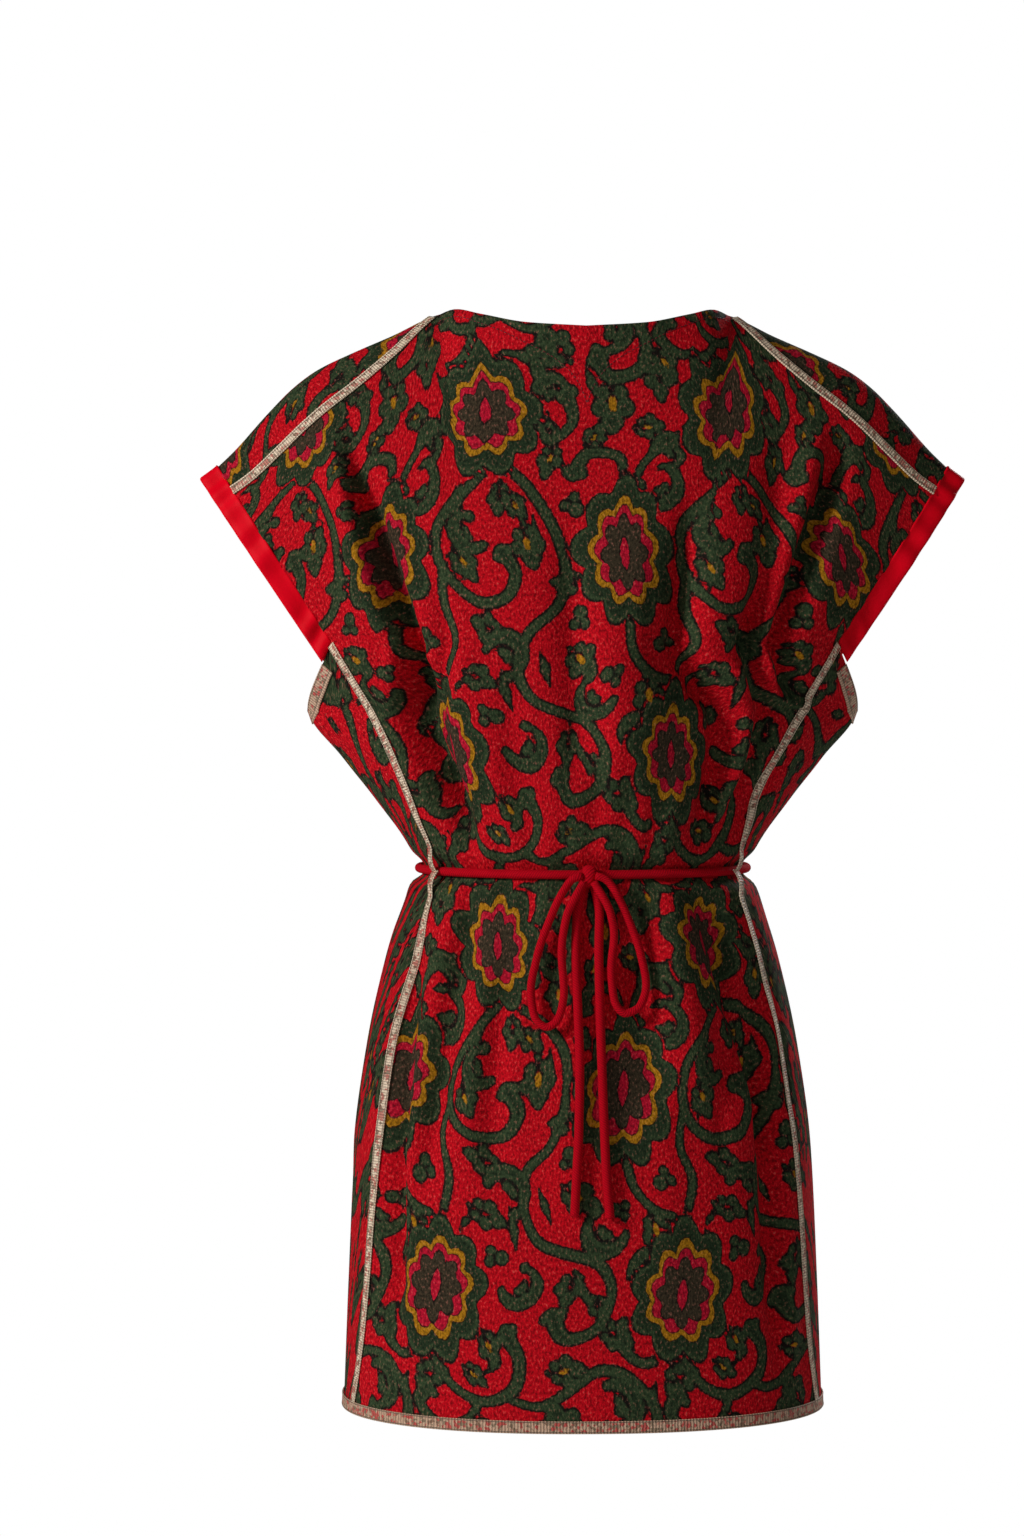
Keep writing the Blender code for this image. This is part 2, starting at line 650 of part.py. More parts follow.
def back_cloth(across, levels):
    """The back panel's points. On the ribbon edge round the side, the place is on the front sheet."""
    known = ~np.isnan(across)
    sheet = np.full(across.shape, BACK)
    round_side = np.abs(across) > 1 + 1e-9
    on_edge = round_side | (np.arange(across.shape[1]) < SIDE_COLUMNS)
    on_edge = on_edge | (np.arange(across.shape[1]) >= across.shape[1] - SIDE_COLUMNS)
    sheet = np.where(on_edge, FRONT, sheet)
    side = np.where(across < 0, -1.0, 1.0)
    across = np.where(on_edge, side * (2 - np.abs(across)), across)
    across = np.where(known, across, 0.0)
    levels = np.where(known, levels, 1.5)
    return cloth(sheet, across, levels)


def pulled_from_seam(points, seam_cells):
    """Moves the points of a panel's seam edges half a gap towards the panel's own inside."""
    points = points.copy()
    for row, col, inner_row, inner_col in seam_cells:
        away = unit(points[inner_row, inner_col] - points[row, col])
        points[row, col] += away * SEAM_GAP / 2
    return points


def tube(name, path, radius, finish, sides_each=1):
    """A round cord along a path: a curve with a bevel and filled caps."""
    curve = bpy.data.curves.new(name, "CURVE")
    curve.dimensions = "3D"
    curve.bevel_depth = radius
    curve.bevel_resolution = sides_each
    curve.use_fill_caps = True
    spline = curve.splines.new("POLY")
    spline.points.add(len(path) - 1)
    for point, place in zip(spline.points, path):
        point.co = (*place, 1)
    made = bpy.data.objects.new(name, curve)
    made.data.materials.append(finish)
    bpy.context.scene.collection.objects.link(made)
    return made


def front_route(route, count):
    """A smooth path on the front through a cord's own points, evenly spaced."""
    route = np.array(route)
    length = np.concatenate([[0], np.cumsum(np.linalg.norm(np.diff(route[:, :2], axis=0), axis=1))])
    even = np.linspace(0, length[-1], count)
    x, z, lift = (smooth_curve(length, route[:, which])(even) for which in range(3))
    level = np.interp(-z, [-row[1] for row in LEVEL_HEIGHTS], [row[0] for row in LEVEL_HEIGHTS])
    height = level_height(level)
    reach = np.abs(x) / SECTION["width"](height)
    share = share_of(reach, level, SECTION["roundness"](height)) * np.sign(x)
    cloth_at = surface_point(FRONT, share, level)
    forward = plain_point(FRONT, share, level)
    normal = surface_frame(plain_point, FRONT, share, level)[2]
    out = np.maximum(0, ((cloth_at - forward) * normal).sum(axis=1))
    return forward + normal * (out + lift)[:, None]


def outside_knot(path, radius, centre):
    """The stretch of a cord's path outside the knot: its flat ends stop just off the knot."""
    length = np.concatenate([[0], np.cumsum(np.linalg.norm(np.diff(path, axis=0), axis=1))])
    fine = np.arange(0, length[-1], KNOT_STEP)
    dense = np.stack([np.interp(fine, length, path[:, which]) for which in range(3)], axis=1)
    run = unit(np.gradient(dense, axis=0))
    beside = unit(np.cross(run, (0, 1, 0)))
    above = np.cross(run, beside)
    turn = np.linspace(0, 2 * math.pi, 12, endpoint=False)[:, None]
    rim = dense[:, None] + radius * (np.cos(turn) * beside[:, None] + np.sin(turn) * above[:, None])
    size = np.array(KNOT_HALF_SIZE) + KNOT_CLEARANCE
    touching = np.flatnonzero((np.linalg.norm((rim - centre) / size, axis=2) < 1).any(axis=1))
    half = len(fine) // 2
    first = max([place + 1 for place in touching if place < half], default=0)
    last = min([place - 1 for place in touching if place >= half], default=len(fine) - 1)
    between = (length > fine[first] + radius) & (length < fine[last] - radius)
    return np.vstack([dense[first], path[between], dense[last]])


def build_dress():
    clear_scene()
    printed_cloth = material("printed_crepe", PRINT_RED, 0.8)
    satin = material("red_satin", SATIN_RED, 0.35)
    woven_braid = material("woven_braid", BRAID_BEIGE, 0.6)
    woven_ribbon = material("woven_ribbon", RIBBON_GREY, 0.5)
    cord_yarn = material("cord_yarn", CORD_RED, 0.85)

    # Front panel, and the edges of it that are seams
    across, levels = front_places()
    front, front_inside, front_normal = cloth(FRONT, across, levels)
    rows, columns = across.shape
    seams = [(row, col, row, inner) for row in range(rows) for col, inner in ((0, 1), (-1, -2))]
    strap = [col for col in range(columns) if not SHOULDER_COLUMNS < col < columns - 1 - SHOULDER_COLUMNS]
    seams += [(0, col, 1, col) for col in strap]
    wall(
        "front_panel",
        pulled_from_seam(front, seams),
        pulled_from_seam(front_inside, seams),
        printed_cloth,
    )

    # Back panel
    across_back, levels_back, present, tip_row = back_places()
    back, back_inside, back_normal = back_cloth(across_back, levels_back)
    back_rows, back_columns = across_back.shape
    seams = []
    for row in range(back_rows):
        if row >= tip_row:
            seams += [(row, 0, row, 1), (row, back_columns - 1, row, back_columns - 2)]
        if row < SHOULDER_ROWS + CHEST_ROWS:
            for col, inner in ((SIDE_COLUMNS, SIDE_COLUMNS + 1), (-1 - SIDE_COLUMNS, -2 - SIDE_COLUMNS)):
                seams.append((row, col, row, inner))
    seams += [(0, col + SIDE_COLUMNS, 1, col + SIDE_COLUMNS) for col in strap]
    wall(
        "back_panel",
        pulled_from_seam(back, seams),
        pulled_from_seam(back_inside, seams),
        printed_cloth,
        present,
    )

    for side, name in ((-1, "left"), (1, "right")):
        edge = 0 if side < 0 else columns - 1
        inner = edge - side
        back_edge = 0 if side < 0 else back_columns - 1
        sheet_edge = back_edge - side * SIDE_COLUMNS

        # Braid on the side seam, over the cord and down to the hem ribbon
        low = lower_levels(UNDERARM)
        heights = level_height(low)
        hump = 2 * CORD_RADIUS + CORD_LIFT + SIDE_BRAID_LIFT
        from_cord = np.abs(heights - WAIST_HEIGHT)
        lift = np.interp(from_cord, HUMP_REACH, (hump, hump, SIDE_BRAID_LIFT))
        seam_rows = slice(CHEST_ROWS, rows)
        middle = front[seam_rows, edge].copy()
        panel_side = front[seam_rows, inner].copy()
        strip_side = back[tip_row:, back_edge - side].copy()
        strip_side[0] = middle[0] + (middle[0] - panel_side[0])
        start_share = BRAID_START / np.linalg.norm(middle[1] - middle[0])
        for points in (middle, panel_side, strip_side):
            points[0] += (points[1] - points[0]) * start_share
        end_share = (HEM_RIBBON_WIDTH + SEAM_GAP) / np.linalg.norm(middle[-1] - middle[-2])
        for points in (middle, panel_side, strip_side):
            points[-1] += (points[-2] - points[-1]) * end_share
        widths = np.full((2, len(low)), BRAID_WIDTH / 2)
        widths[:, 0] = BRAID_START / 4
        strip(f"side_braid_{name}", middle, panel_side, strip_side, front_normal[seam_rows, edge],
              widths, lift, woven_braid)

        # Braid on the shoulder seam
        if side < 0:
            strap_columns = slice(0, SHOULDER_COLUMNS + 1)
        else:
            strap_columns = slice(columns - 1, columns - 2 - SHOULDER_COLUMNS, -1)
        middle = front[0, strap_columns].copy()
        below = front[1, strap_columns].copy()
        shifted = slice(SIDE_COLUMNS, back_columns - SIDE_COLUMNS)
        above = back[1, shifted][strap_columns].copy()
        start_share = 2 * SEAM_GAP / np.linalg.norm(middle[1] - middle[0])
        for points in (middle, below, above):
            points[0] += (points[1] - points[0]) * start_share
        widths = np.full((2, len(middle)), SHOULDER_BRAID_WIDTH / 2)
        widths[1, -1] = SHOULDER_BRAID_END * np.linalg.norm(above[-1] - middle[-1])
        strip(f"shoulder_braid_{name}", middle, below, above, front_normal[0, strap_columns],
              widths, np.full(len(middle), SHOULDER_BRAID_LIFT), woven_braid)

        # Cuff: from the front underarm, over the shoulder's end, to the back underarm
        front_edge = front[CHEST_ROWS:0:-1, edge]
        front_fall = levels[CHEST_ROWS:0:-1, edge]
        back_edge_rows = slice(0, SHOULDER_ROWS + CHEST_ROWS + 1)
        seam_line = np.vstack([front_edge, back[back_edge_rows, sheet_edge]])
        fallen = np.concatenate([front_fall, np.abs(levels_back[back_edge_rows, sheet_edge])])
        share = (1 + SHOULDER_ROUNDING) * fallen ** 2 / (fallen + SHOULDER_ROUNDING)
        outer_line = seam_line.copy()
        outer_line[:, 0] = side * (CUFF_TOP[0] + (CUFF_END[0] - CUFF_TOP[0]) * share)
        outer_line[:, 2] = CUFF_TOP[1] + (CUFF_END[1] - CUFF_TOP[1]) * share
        outwards = unit(outer_line - seam_line)
        start = seam_line + outwards * SEAM_GAP / 2
        run = np.gradient(seam_line, axis=0)
        normal = unit(np.cross(outwards, run)) * side
        outer = np.stack([start, outer_line], axis=1)
        wall(f"cuff_{name}", outer, outer - normal[:, None] * CUFF_THICKNESS, satin)

    hem_ribbon(front, front_normal, back, back_normal, woven_ribbon)
    waist_cord(front, front_normal, back, back_normal, tip_row, cord_yarn)
    for side, name in ((-1, "left"), (1, "right")):
        underarm_ribbon(side, name, woven_ribbon)


def round_the_dress(front_row, back_row):
    """One closed line of points: across the front, then round the back panel from seam to seam."""
    return np.concatenate([front_row, back_row[::-1][1:-1]])


def hem_ribbon(front, front_normal, back, back_normal, finish):
    hem = round_the_dress(front[-1], back[-1])
    above = round_the_dress(front[-2], back[-2])
    normal = round_the_dress(front_normal[-1], back_normal[-1])
    top = hem + unit(above - hem) * HEM_RIBBON_WIDTH
    under = np.stack([top, hem]) + normal * TRIM_LIFT
    wall("hem_ribbon", under + normal * TRIM_THICKNESS, under, finish, ring=True)


def knot_centre(cloth_points):
    """The knot's middle: its round back just clears the cloth behind it."""
    width, depth, height = KNOT_HALF_SIZE
    offset = (cloth_points[:, 0] / width) ** 2 + ((cloth_points[:, 2] - KNOT_HEIGHT) / height) ** 2
    behind = offset < BEHIND_KNOT
    back = depth * np.sqrt(np.clip(1 - offset[behind], 0, 1))
    return np.array([0, (cloth_points[behind, 1] - back).min() - KNOT_LIFT, KNOT_HEIGHT])


def waist_cord(front, front_normal, back, back_normal, tip_row, finish):
    """The cord round the waist, open at the knot, then the knot, the two loops and the two tails."""
    low = lower_levels(UNDERARM)
    front_row = CHEST_ROWS + row_of_waist(low)
    back_row = tip_row + row_of_waist(low)
    points = round_the_dress(front[front_row], back[back_row])
    normal = round_the_dress(front_normal[front_row], back_normal[back_row])
    ring = points + normal * (CORD_RADIUS + CORD_LIFT)
    centre_column = front.shape[1] // 2
    ring = np.roll(ring, -centre_column, axis=0)
    centre = knot_centre(front.reshape(-1, 3))
    ring[:, 2] = WAIST_HEIGHT
    path = [ring[0] * [0, 1, 1] + [0.0001, 0, 0], *ring[1:], ring[0] * [0, 1, 1] - [0.0001, 0, 0]]
    path = outside_knot(np.array(path), CORD_RADIUS, centre)
    tube("tie_cord_waist", path, CORD_RADIUS, finish)

    shape = bmesh.new()
    bmesh.ops.create_uvsphere(shape, u_segments=12, v_segments=8, radius=1)
    bmesh.ops.scale(shape, vec=KNOT_HALF_SIZE, verts=shape.verts)
    bmesh.ops.translate(shape, vec=centre, verts=shape.verts)
    new_object("tie_knot", shape, finish)

    for name, route in (("left", LOOP_LEFT), ("right", LOOP_RIGHT)):
        path = outside_knot(front_route(route, LOOP_POINTS), LOOP_RADIUS, centre)
        tube(f"tie_loop_{name}", path, LOOP_RADIUS, finish)
    for name, route in (("left", TAIL_LEFT), ("right", TAIL_RIGHT)):
        path = outside_knot(front_route(route, TAIL_POINTS), TAIL_RADIUS, centre)
        tube(f"tie_tail_{name}", path, TAIL_RADIUS, finish)


def underarm_ribbon(side, name, finish):
    """The ribbon on the edge below a cuff: along the front, round the tip and up the back."""
    front_levels = np.array([row[0] for row in RIBBON_WIDTHS])
    front_widths = np.array([row[1] for row in RIBBON_WIDTHS])
    count = len(front_levels)
    sheets = np.concatenate([np.full(count + 1, FRONT), np.full(count, BACK)])
    levels = np.concatenate([front_levels, [RIBBON_TIP], front_levels[::-1]])
    widths = np.concatenate([front_widths, np.full(count + 1, UNDERARM_RIBBON_WIDTH)])
    across = np.full(len(levels), side * JUST_INSIDE)
    edge = surface_point(sheets, across, levels)
    run = unit(np.gradient(edge, axis=0))
    lines, normals = [edge], [surface_frame(surface_point, sheets, across, levels)[2]]
    heading = unit(np.cross(run, normals[0])) * side
    for _ in range(RIBBON_STEPS):
        along, down, normal = surface_frame(surface_point, sheets, across, levels)
        heading = unit(heading - normal * (heading * normal).sum(axis=1, keepdims=True))
        for place in range(len(levels)):
            basis = np.stack([along[place], down[place]], axis=1)
            wanted = heading[place] * widths[place] / RIBBON_STEPS
            move = np.linalg.lstsq(basis, wanted, rcond=None)[0]
            across[place] += move[0]
            levels[place] += move[1]
        lines.append(surface_point(sheets, across, levels))
        normals.append(surface_frame(surface_point, sheets, across, levels)[2])
    kept = (0, RIBBON_STEPS // 2, RIBBON_STEPS)
    points = np.stack([lines[which] for which in kept], axis=1)
    normals = np.stack([normals[which] for which in kept], axis=1)
    under = points + normals * RIBBON_LIFT
    wall(f"underarm_ribbon_{name}", under + normals * TRIM_THICKNESS, under, finish)


build_dress()
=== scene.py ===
"""Dresses the CAD frame of a short printed shift dress: cloth with print and folds, trims and tie cord."""

import math

import bmesh
import bpy
import numpy as np
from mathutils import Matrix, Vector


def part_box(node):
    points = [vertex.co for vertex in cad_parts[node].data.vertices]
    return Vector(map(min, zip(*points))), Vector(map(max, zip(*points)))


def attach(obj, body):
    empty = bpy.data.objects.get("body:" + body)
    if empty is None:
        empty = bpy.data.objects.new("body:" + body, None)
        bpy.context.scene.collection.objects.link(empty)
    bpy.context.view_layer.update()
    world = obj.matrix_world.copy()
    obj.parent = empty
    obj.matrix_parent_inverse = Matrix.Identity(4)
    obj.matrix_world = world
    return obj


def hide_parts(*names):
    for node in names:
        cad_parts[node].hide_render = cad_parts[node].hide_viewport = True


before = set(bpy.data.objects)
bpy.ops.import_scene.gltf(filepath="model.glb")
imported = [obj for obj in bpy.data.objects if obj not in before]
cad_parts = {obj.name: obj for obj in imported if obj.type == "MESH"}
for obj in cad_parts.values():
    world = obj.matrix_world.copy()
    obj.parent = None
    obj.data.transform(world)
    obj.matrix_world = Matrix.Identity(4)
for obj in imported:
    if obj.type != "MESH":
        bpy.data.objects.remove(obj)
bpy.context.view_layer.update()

# Camera
# A long lens level with the underarm, a little to the left of the dress and turned down to its middle.
CAMERA_DISTANCE = 3.24
CAMERA_HEIGHT = -0.231
CAMERA_AZIMUTH = math.radians(-2.4)
PHOTO_HEIGHT_PX = 1536
FOCAL_PX = 4212
DRESS_MIDDLE_PX = 583 - 512
HORIZON_ABOVE_MIDDLE_PX = 768 - 614


def placed(name, data):
    """An object with the given data, in the scene."""
    made = bpy.data.objects.new(name, data)
    bpy.context.scene.collection.objects.link(made)
    return made


camera_data = bpy.data.cameras.new("camera")
camera_data.sensor_fit = "VERTICAL"
camera_data.sensor_height = 36
camera_data.lens = FOCAL_PX * camera_data.sensor_height / PHOTO_HEIGHT_PX
camera_data.clip_end = 100
camera = placed("camera", camera_data)
camera.location = (
    CAMERA_DISTANCE * math.sin(CAMERA_AZIMUTH),
    -CAMERA_DISTANCE * math.cos(CAMERA_AZIMUTH),
    CAMERA_HEIGHT,
)
camera.rotation_euler = (
    math.radians(90) - math.atan(HORIZON_ABOVE_MIDDLE_PX / FOCAL_PX),
    0,
    CAMERA_AZIMUTH + math.atan(DRESS_MIDDLE_PX / FOCAL_PX),
)
bpy.context.scene.camera = camera

# Studio
# A pale floor far below the hem, soft light from a large lamp on the left, and a weak fill from the right.
FLOOR_HEIGHT = -1.60
FLOOR_RADIUS = 14
ROOM_STRENGTH = 0.10
WHITE = (1, 1, 1, 1)
bpy.context.scene.view_settings.view_transform = "Standard"


def lamp(name, place, aim, size, power):
    data = bpy.data.lights.new(name, "AREA")
    data.shape = "RECTANGLE"
    data.size, data.size_y = size
    data.energy = power
    made = placed(name, data)
    made.location = place
    direction = np.array(aim) - np.array(place)
    flat = math.hypot(direction[0], direction[1])
    heading = math.atan2(direction[1], direction[0]) - math.pi / 2
    made.rotation_euler = (math.atan2(flat, -direction[2]), 0, heading)


def feed(tree, node, inputs):
    """Gives each named input of a node its value, or the output that feeds it."""
    for name, value in inputs.items():
        if isinstance(value, bpy.types.NodeSocket):
            tree.links.new(value, node.inputs[name])
        else:
            node.inputs[name].default_value = value


def add_node(tree, kind, inputs=None, **settings):
    node = tree.nodes.new("ShaderNode" + kind)
    for name, value in settings.items():
        setattr(node, name, value)
    feed(tree, node, inputs or {})
    return node


def white_to_camera(tree, shader, glow, end):
    """The camera sees the glow, and everything else the shader."""
    ray = add_node(tree, "LightPath")
    either = add_node(tree, "MixShader", {"Fac": ray.outputs["Is Camera Ray"], 1: shader.outputs[0],
                                          2: glow.outputs[0]})
    feed(tree, tree.nodes[end], {"Surface": either.outputs["Shader"]})


def new_material(name):
    """A material with its node tree and its shader."""
    made = bpy.data.materials.new(name)
    made.use_nodes = True
    return made, made.node_tree, made.node_tree.nodes["Principled BSDF"]


def mesh_object(name, shape):
    """An object from a finished bmesh."""
    mesh = bpy.data.meshes.new(name)
    shape.to_mesh(mesh)
    shape.free()
    return placed(name, mesh)


lamp("key_lamp", (-2.7, -1.75, 0.9), (0, 0, -0.4), (0.8, 1.0), 79)
lamp("fill_lamp", (0.8, -3.4, 0.2), (0, 0, -0.45), (1.6, 1.6), 7)
lamp("back_lamp", (1.9, 2.8, 1.0), (0, 0, -0.4), (1.2, 1.2), 62)

world = bpy.data.worlds.new("studio")
world.use_nodes = True
tree = world.node_tree
room = tree.nodes["Background"]
feed(tree, room, {"Color": WHITE, "Strength": ROOM_STRENGTH})
backdrop = add_node(tree, "Background", {"Color": WHITE, "Strength": 1.0})
white_to_camera(tree, room, backdrop, "World Output")
bpy.context.scene.world = world

floor_form = bmesh.new()
bmesh.ops.create_circle(floor_form, cap_ends=True, segments=96, radius=FLOOR_RADIUS)
bmesh.ops.translate(floor_form, vec=(0, 0, FLOOR_HEIGHT), verts=floor_form.verts)
floor_paint, tree, shader = new_material("pale_floor")
feed(tree, shader, {"Base Color": (0.80, 0.80, 0.80, 1), "Roughness": 0.9})
glow = add_node(tree, "Emission", {"Color": WHITE})
white_to_camera(tree, shader, glow, "Material Output")
floor = mesh_object("floor", floor_form)
floor.data.materials.append(floor_paint)

# Cloth of both panels
# Red pebbled crepe, cut straight and wide, held at the shoulders and drawn in by the cord. Both panels lie
# on one surface: a place on it has a sheet (FRONT or BACK), an across value from -1 to 1, and a level.
FRONT, BACK = -1.0, 1.0

# Levels down the dress and their heights: the shoulder line is level 0
UNDERARM, RIBBON_TIP, WAIST, HEM = 1.0, 2.0, 3.0, 4.0
UNDERARM_HEIGHT = -0.2535
WAIST_HEIGHT = -0.426
HEM_HEIGHT = -0.840
LEVEL_HEIGHTS = [(UNDERARM, UNDERARM_HEIGHT), (RIBBON_TIP, -0.3044), (WAIST, WAIST_HEIGHT),
                 (HEM, HEM_HEIGHT)]

# Top line: distance from the centre, height, then how far the neck edge stands forward and back
TOP_COLUMNS = ("across", "height", "front", "back")
TOP_LINE = [
    (0.000, -0.014, 0.060, 0.068),
    (0.045, -0.011, 0.054, 0.061),
    (0.080, -0.0035, 0.037, 0.041),
    (0.099, 0.0010, 0.020, 0.022),
    (0.1143, -0.003, 0.0, 0.0),
    (0.146, -0.018, 0.0, 0.0),
    (0.176, -0.031, 0.0, 0.0),
    (0.203, -0.044, 0.0, 0.0),
    (0.221, -0.057, 0.0, 0.0),
    (0.241, -0.077, 0.0, 0.0),
    (0.267, -0.106, 0.0, 0.0),
    (0.2805, -0.119, 0.0, 0.0),
]

# Sections below the underarm: half width at the edge and inside it, depths, and roundness of the side
SECTION_COLUMNS = ("height", "edge_width", "width", "front", "back", "roundness")
SECTIONS = [
    (-0.2535, 0.1930, 0.2050, 0.114, 0.094, 1.90),
    (-0.3044, 0.2107, 0.1990, 0.114, 0.093, 1.80),
    (-0.3415, 0.1845, 0.1845, 0.109, 0.091, 1.85),
    (-0.3730, 0.1598, 0.1598, 0.103, 0.089, 1.92),
    (-0.4120, 0.1330, 0.1330, 0.097, 0.087, 2.00),
    (-0.4260, 0.1285, 0.1285, 0.095, 0.085, 2.02),
    (-0.4380, 0.1330, 0.1330, 0.097, 0.089, 2.05),
    (-0.4630, 0.1410, 0.1410, 0.102, 0.097, 2.10),
    (-0.4946, 0.1505, 0.1505, 0.108, 0.105, 2.15),
    (-0.5615, 0.1652, 0.1652, 0.115, 0.115, 2.22),
    (-0.6400, 0.1757, 0.1757, 0.120, 0.122, 2.26),
    (-0.7420, 0.1808, 0.1808, 0.125, 0.127, 2.26),
    (-0.8400, 0.1846, 0.1846, 0.130, 0.132, 2.24),
]

# Chest, from the shoulder line to the underarm: depth of the middle, and how flat it is towards the sides
CHEST_COLUMNS = ("level", "front", "back", "flatness")
CHEST = [
    (0.00, 0.062, 0.072, 2.7),
    (0.42, 0.079, 0.086, 2.6),
    (0.75, 0.101, 0.093, 2.4),
    (1.00, 0.114, 0.094, 2.0),
]

# Half depth of the opening between the two sheets, along the cuff and the ribbon below it
OPENING_COLUMNS = ("level", "half_depth")
OPENING = [(0.0, 0.030), (0.5, 0.038), (1.0, 0.036), (1.5, 0.022), (2.0, 0.0)]

SHOULDER_END = 0.2805
NECK_POINT = 0.1143
SHOULDER_ROUNDING = 0.25
SHOULDER_FULLNESS = 3.0
# Roundness of an ellipse, which the section at the shoulder line has
ELLIPSE = 2.0
# How sharply the edge's own corners stand out from the cloth inside it
EDGE_SHARPNESS = 6
# Share of a quarter turn that a sheet spans where its edge is open
OPEN_TURN = 0.8
# Level below which the flat flap under the arm begins to round into the waist
FLAP_ROUNDS_FROM = 1.5

# Side seam under the braid: height and distance from the centre line
SEAM_COLUMNS = ("height", "across")
SIDE_SEAM = [
    (-0.2535, 0.1930),
    (-0.2980, 0.1670),
    (-0.3400, 0.1465),
    (-0.3810, 0.1275),
    (-0.4125, 0.1140),
    (-0.4260, 0.1115),
    (-0.4445, 0.1150),
    (-0.4645, 0.1225),
    (-0.4900, 0.1310),
    (-0.5620, 0.1485),
    (-0.6660, 0.1610),
    (-0.7770, 0.1690),
    (-0.8400, 0.1775),
]
# Shoulder seam: its level on the front sheet at the neck point and at the cuff
SHOULDER_SEAM = (0.030, 0.228)
# How far the seam dips below an even run between the two
SHOULDER_SEAM_DIP = 0.118
SHOULDER_DIP_SKEW = 0.8

# Folds. A turn counts quarter turns from the centre back: 1 and -1 are the sides, 2 the centre front.
# Each row gives turn and level at the top, turn and level at the end, half width, and height outwards.
FOLDS = [
    (-1.43, 0.30, -1.50, 2.75, 0.022, -0.0110),
    (-1.54, 1.20, -1.59, 2.92, 0.018, -0.0105),
    (-1.95, 0.45, -1.97, 2.55, 0.024, -0.0080),
    (1.80, 0.45, 1.60, 2.94, 0.021, -0.0125),
    (1.52, 0.25, 1.42, 1.30, 0.020, -0.0110),
    (-1.40, 0.25, -1.33, 1.05, 0.018, 0.0085),
    (1.94, 0.80, 1.90, 2.60, 0.026, 0.0080),
    (1.67, 1.70, 1.52, 2.85, 0.017, 0.0085),
    (1.42, 0.60, 1.40, 2.60, 0.015, 0.0060),
    (-1.66, 1.00, -1.70, 2.85, 0.022, 0.0070),
    (1.73, 3.00, 1.70, 3.45, 0.017, 0.0080),
    (1.50, 3.00, 1.58, 3.42, 0.013, -0.0080),
    (1.43, 3.10, 1.44, 3.85, 0.018, -0.0070),
    (-1.40, 3.10, -1.39, 3.90, 0.017, -0.0070),
    (-1.58, 3.00, -1.55, 3.55, 0.015, -0.0060),
    (-1.88, 3.00, -1.86, 3.70, 0.022, -0.0050),
    (0.42, 0.35, 0.55, 2.90, 0.022, -0.0105),
    (-0.38, 0.40, -0.50, 2.92, 0.023, -0.0110),
    (0.05, 0.50, 0.02, 2.80, 0.026, -0.0080),
    (0.70, 0.50, 0.78, 2.70, 0.018, 0.0070),
    (-0.66, 0.40, -0.74, 2.75, 0.019, 0.0080),
    (-0.16, 0.90, -0.22, 2.90, 0.020, 0.0070),
    (0.24, 1.00, 0.28, 2.90, 0.019, 0.0065),
    (0.36, 3.00, 0.34, 3.60, 0.018, -0.0070),
    (-0.30, 3.00, -0.33, 3.75, 0.019, -0.0080),
    (0.72, 3.05, 0.70, 3.80, 0.018, -0.0065),
    (-0.76, 3.05, -0.72, 3.60, 0.017, -0.0060),
]

# Gathers that the cord pulls in: turn, height of the ridge, and how far it reaches up and down
GATHERS = [
    (-1.38, 0.0034, 0.075, 0.060),
    (-1.49, 0.0042, 0.105, 0.080),
    (-1.62, 0.0046, 0.090, 0.055),
    (-1.74, 0.0038, 0.120, 0.085),
    (-1.86, 0.0040, 0.080, 0.060),
    (-1.96, 0.0032, 0.095, 0.050),
    (1.93, 0.0036, 0.100, 0.055),
    (1.83, 0.0042, 0.085, 0.075),
    (1.72, 0.0050, 0.115, 0.095),
    (1.55, 0.0046, 0.080, 0.060),
    (1.46, 0.0042, 0.100, 0.085),
    (1.37, 0.0034, 0.075, 0.055),
    (-0.85, 0.0036, 0.080, 0.060),
    (-0.68, 0.0044, 0.110, 0.075),
    (-0.55, 0.0040, 0.085, 0.060),
    (-0.42, 0.0048, 0.120, 0.090),
    (-0.28, 0.0038, 0.075, 0.055),
    (-0.13, 0.0044, 0.100, 0.080),
    (0.00, 0.0036, 0.085, 0.060),
    (0.14, 0.0046, 0.115, 0.085),
    (0.29, 0.0040, 0.080, 0.055),
    (0.43, 0.0048, 0.105, 0.080),
    (0.57, 0.0038, 0.085, 0.065),
    (0.70, 0.0044, 0.100, 0.070),
    (0.86, 0.0034, 0.075, 0.060),
]
GATHER_HALF_WIDTH = 0.0080
GATHER_FADE = 0.018
# Share of its height that a gather keeps under the cord, and how fast it falls off away from it
GATHER_UNDER_CORD = 0.25
GATHER_FALL = 1.6
GROOVE_DEPTH = 0.0065
GROOVE_HALF_HEIGHT = 0.009
# Shares of a fold's length in which it rises at its top and dies away at its end
FOLD_EASE = (0.35, 0.25)
CREASE_EASE = (0.14, 0.20)
# Level by which the folds reach their height below the shoulder line
FOLDS_FULL_AT = 0.3
# Cloth's half width at the underarm, and the length of a quarter turn over the half width
UNDERARM_WIDTH = 0.205
TURN_LENGTH = 1.25

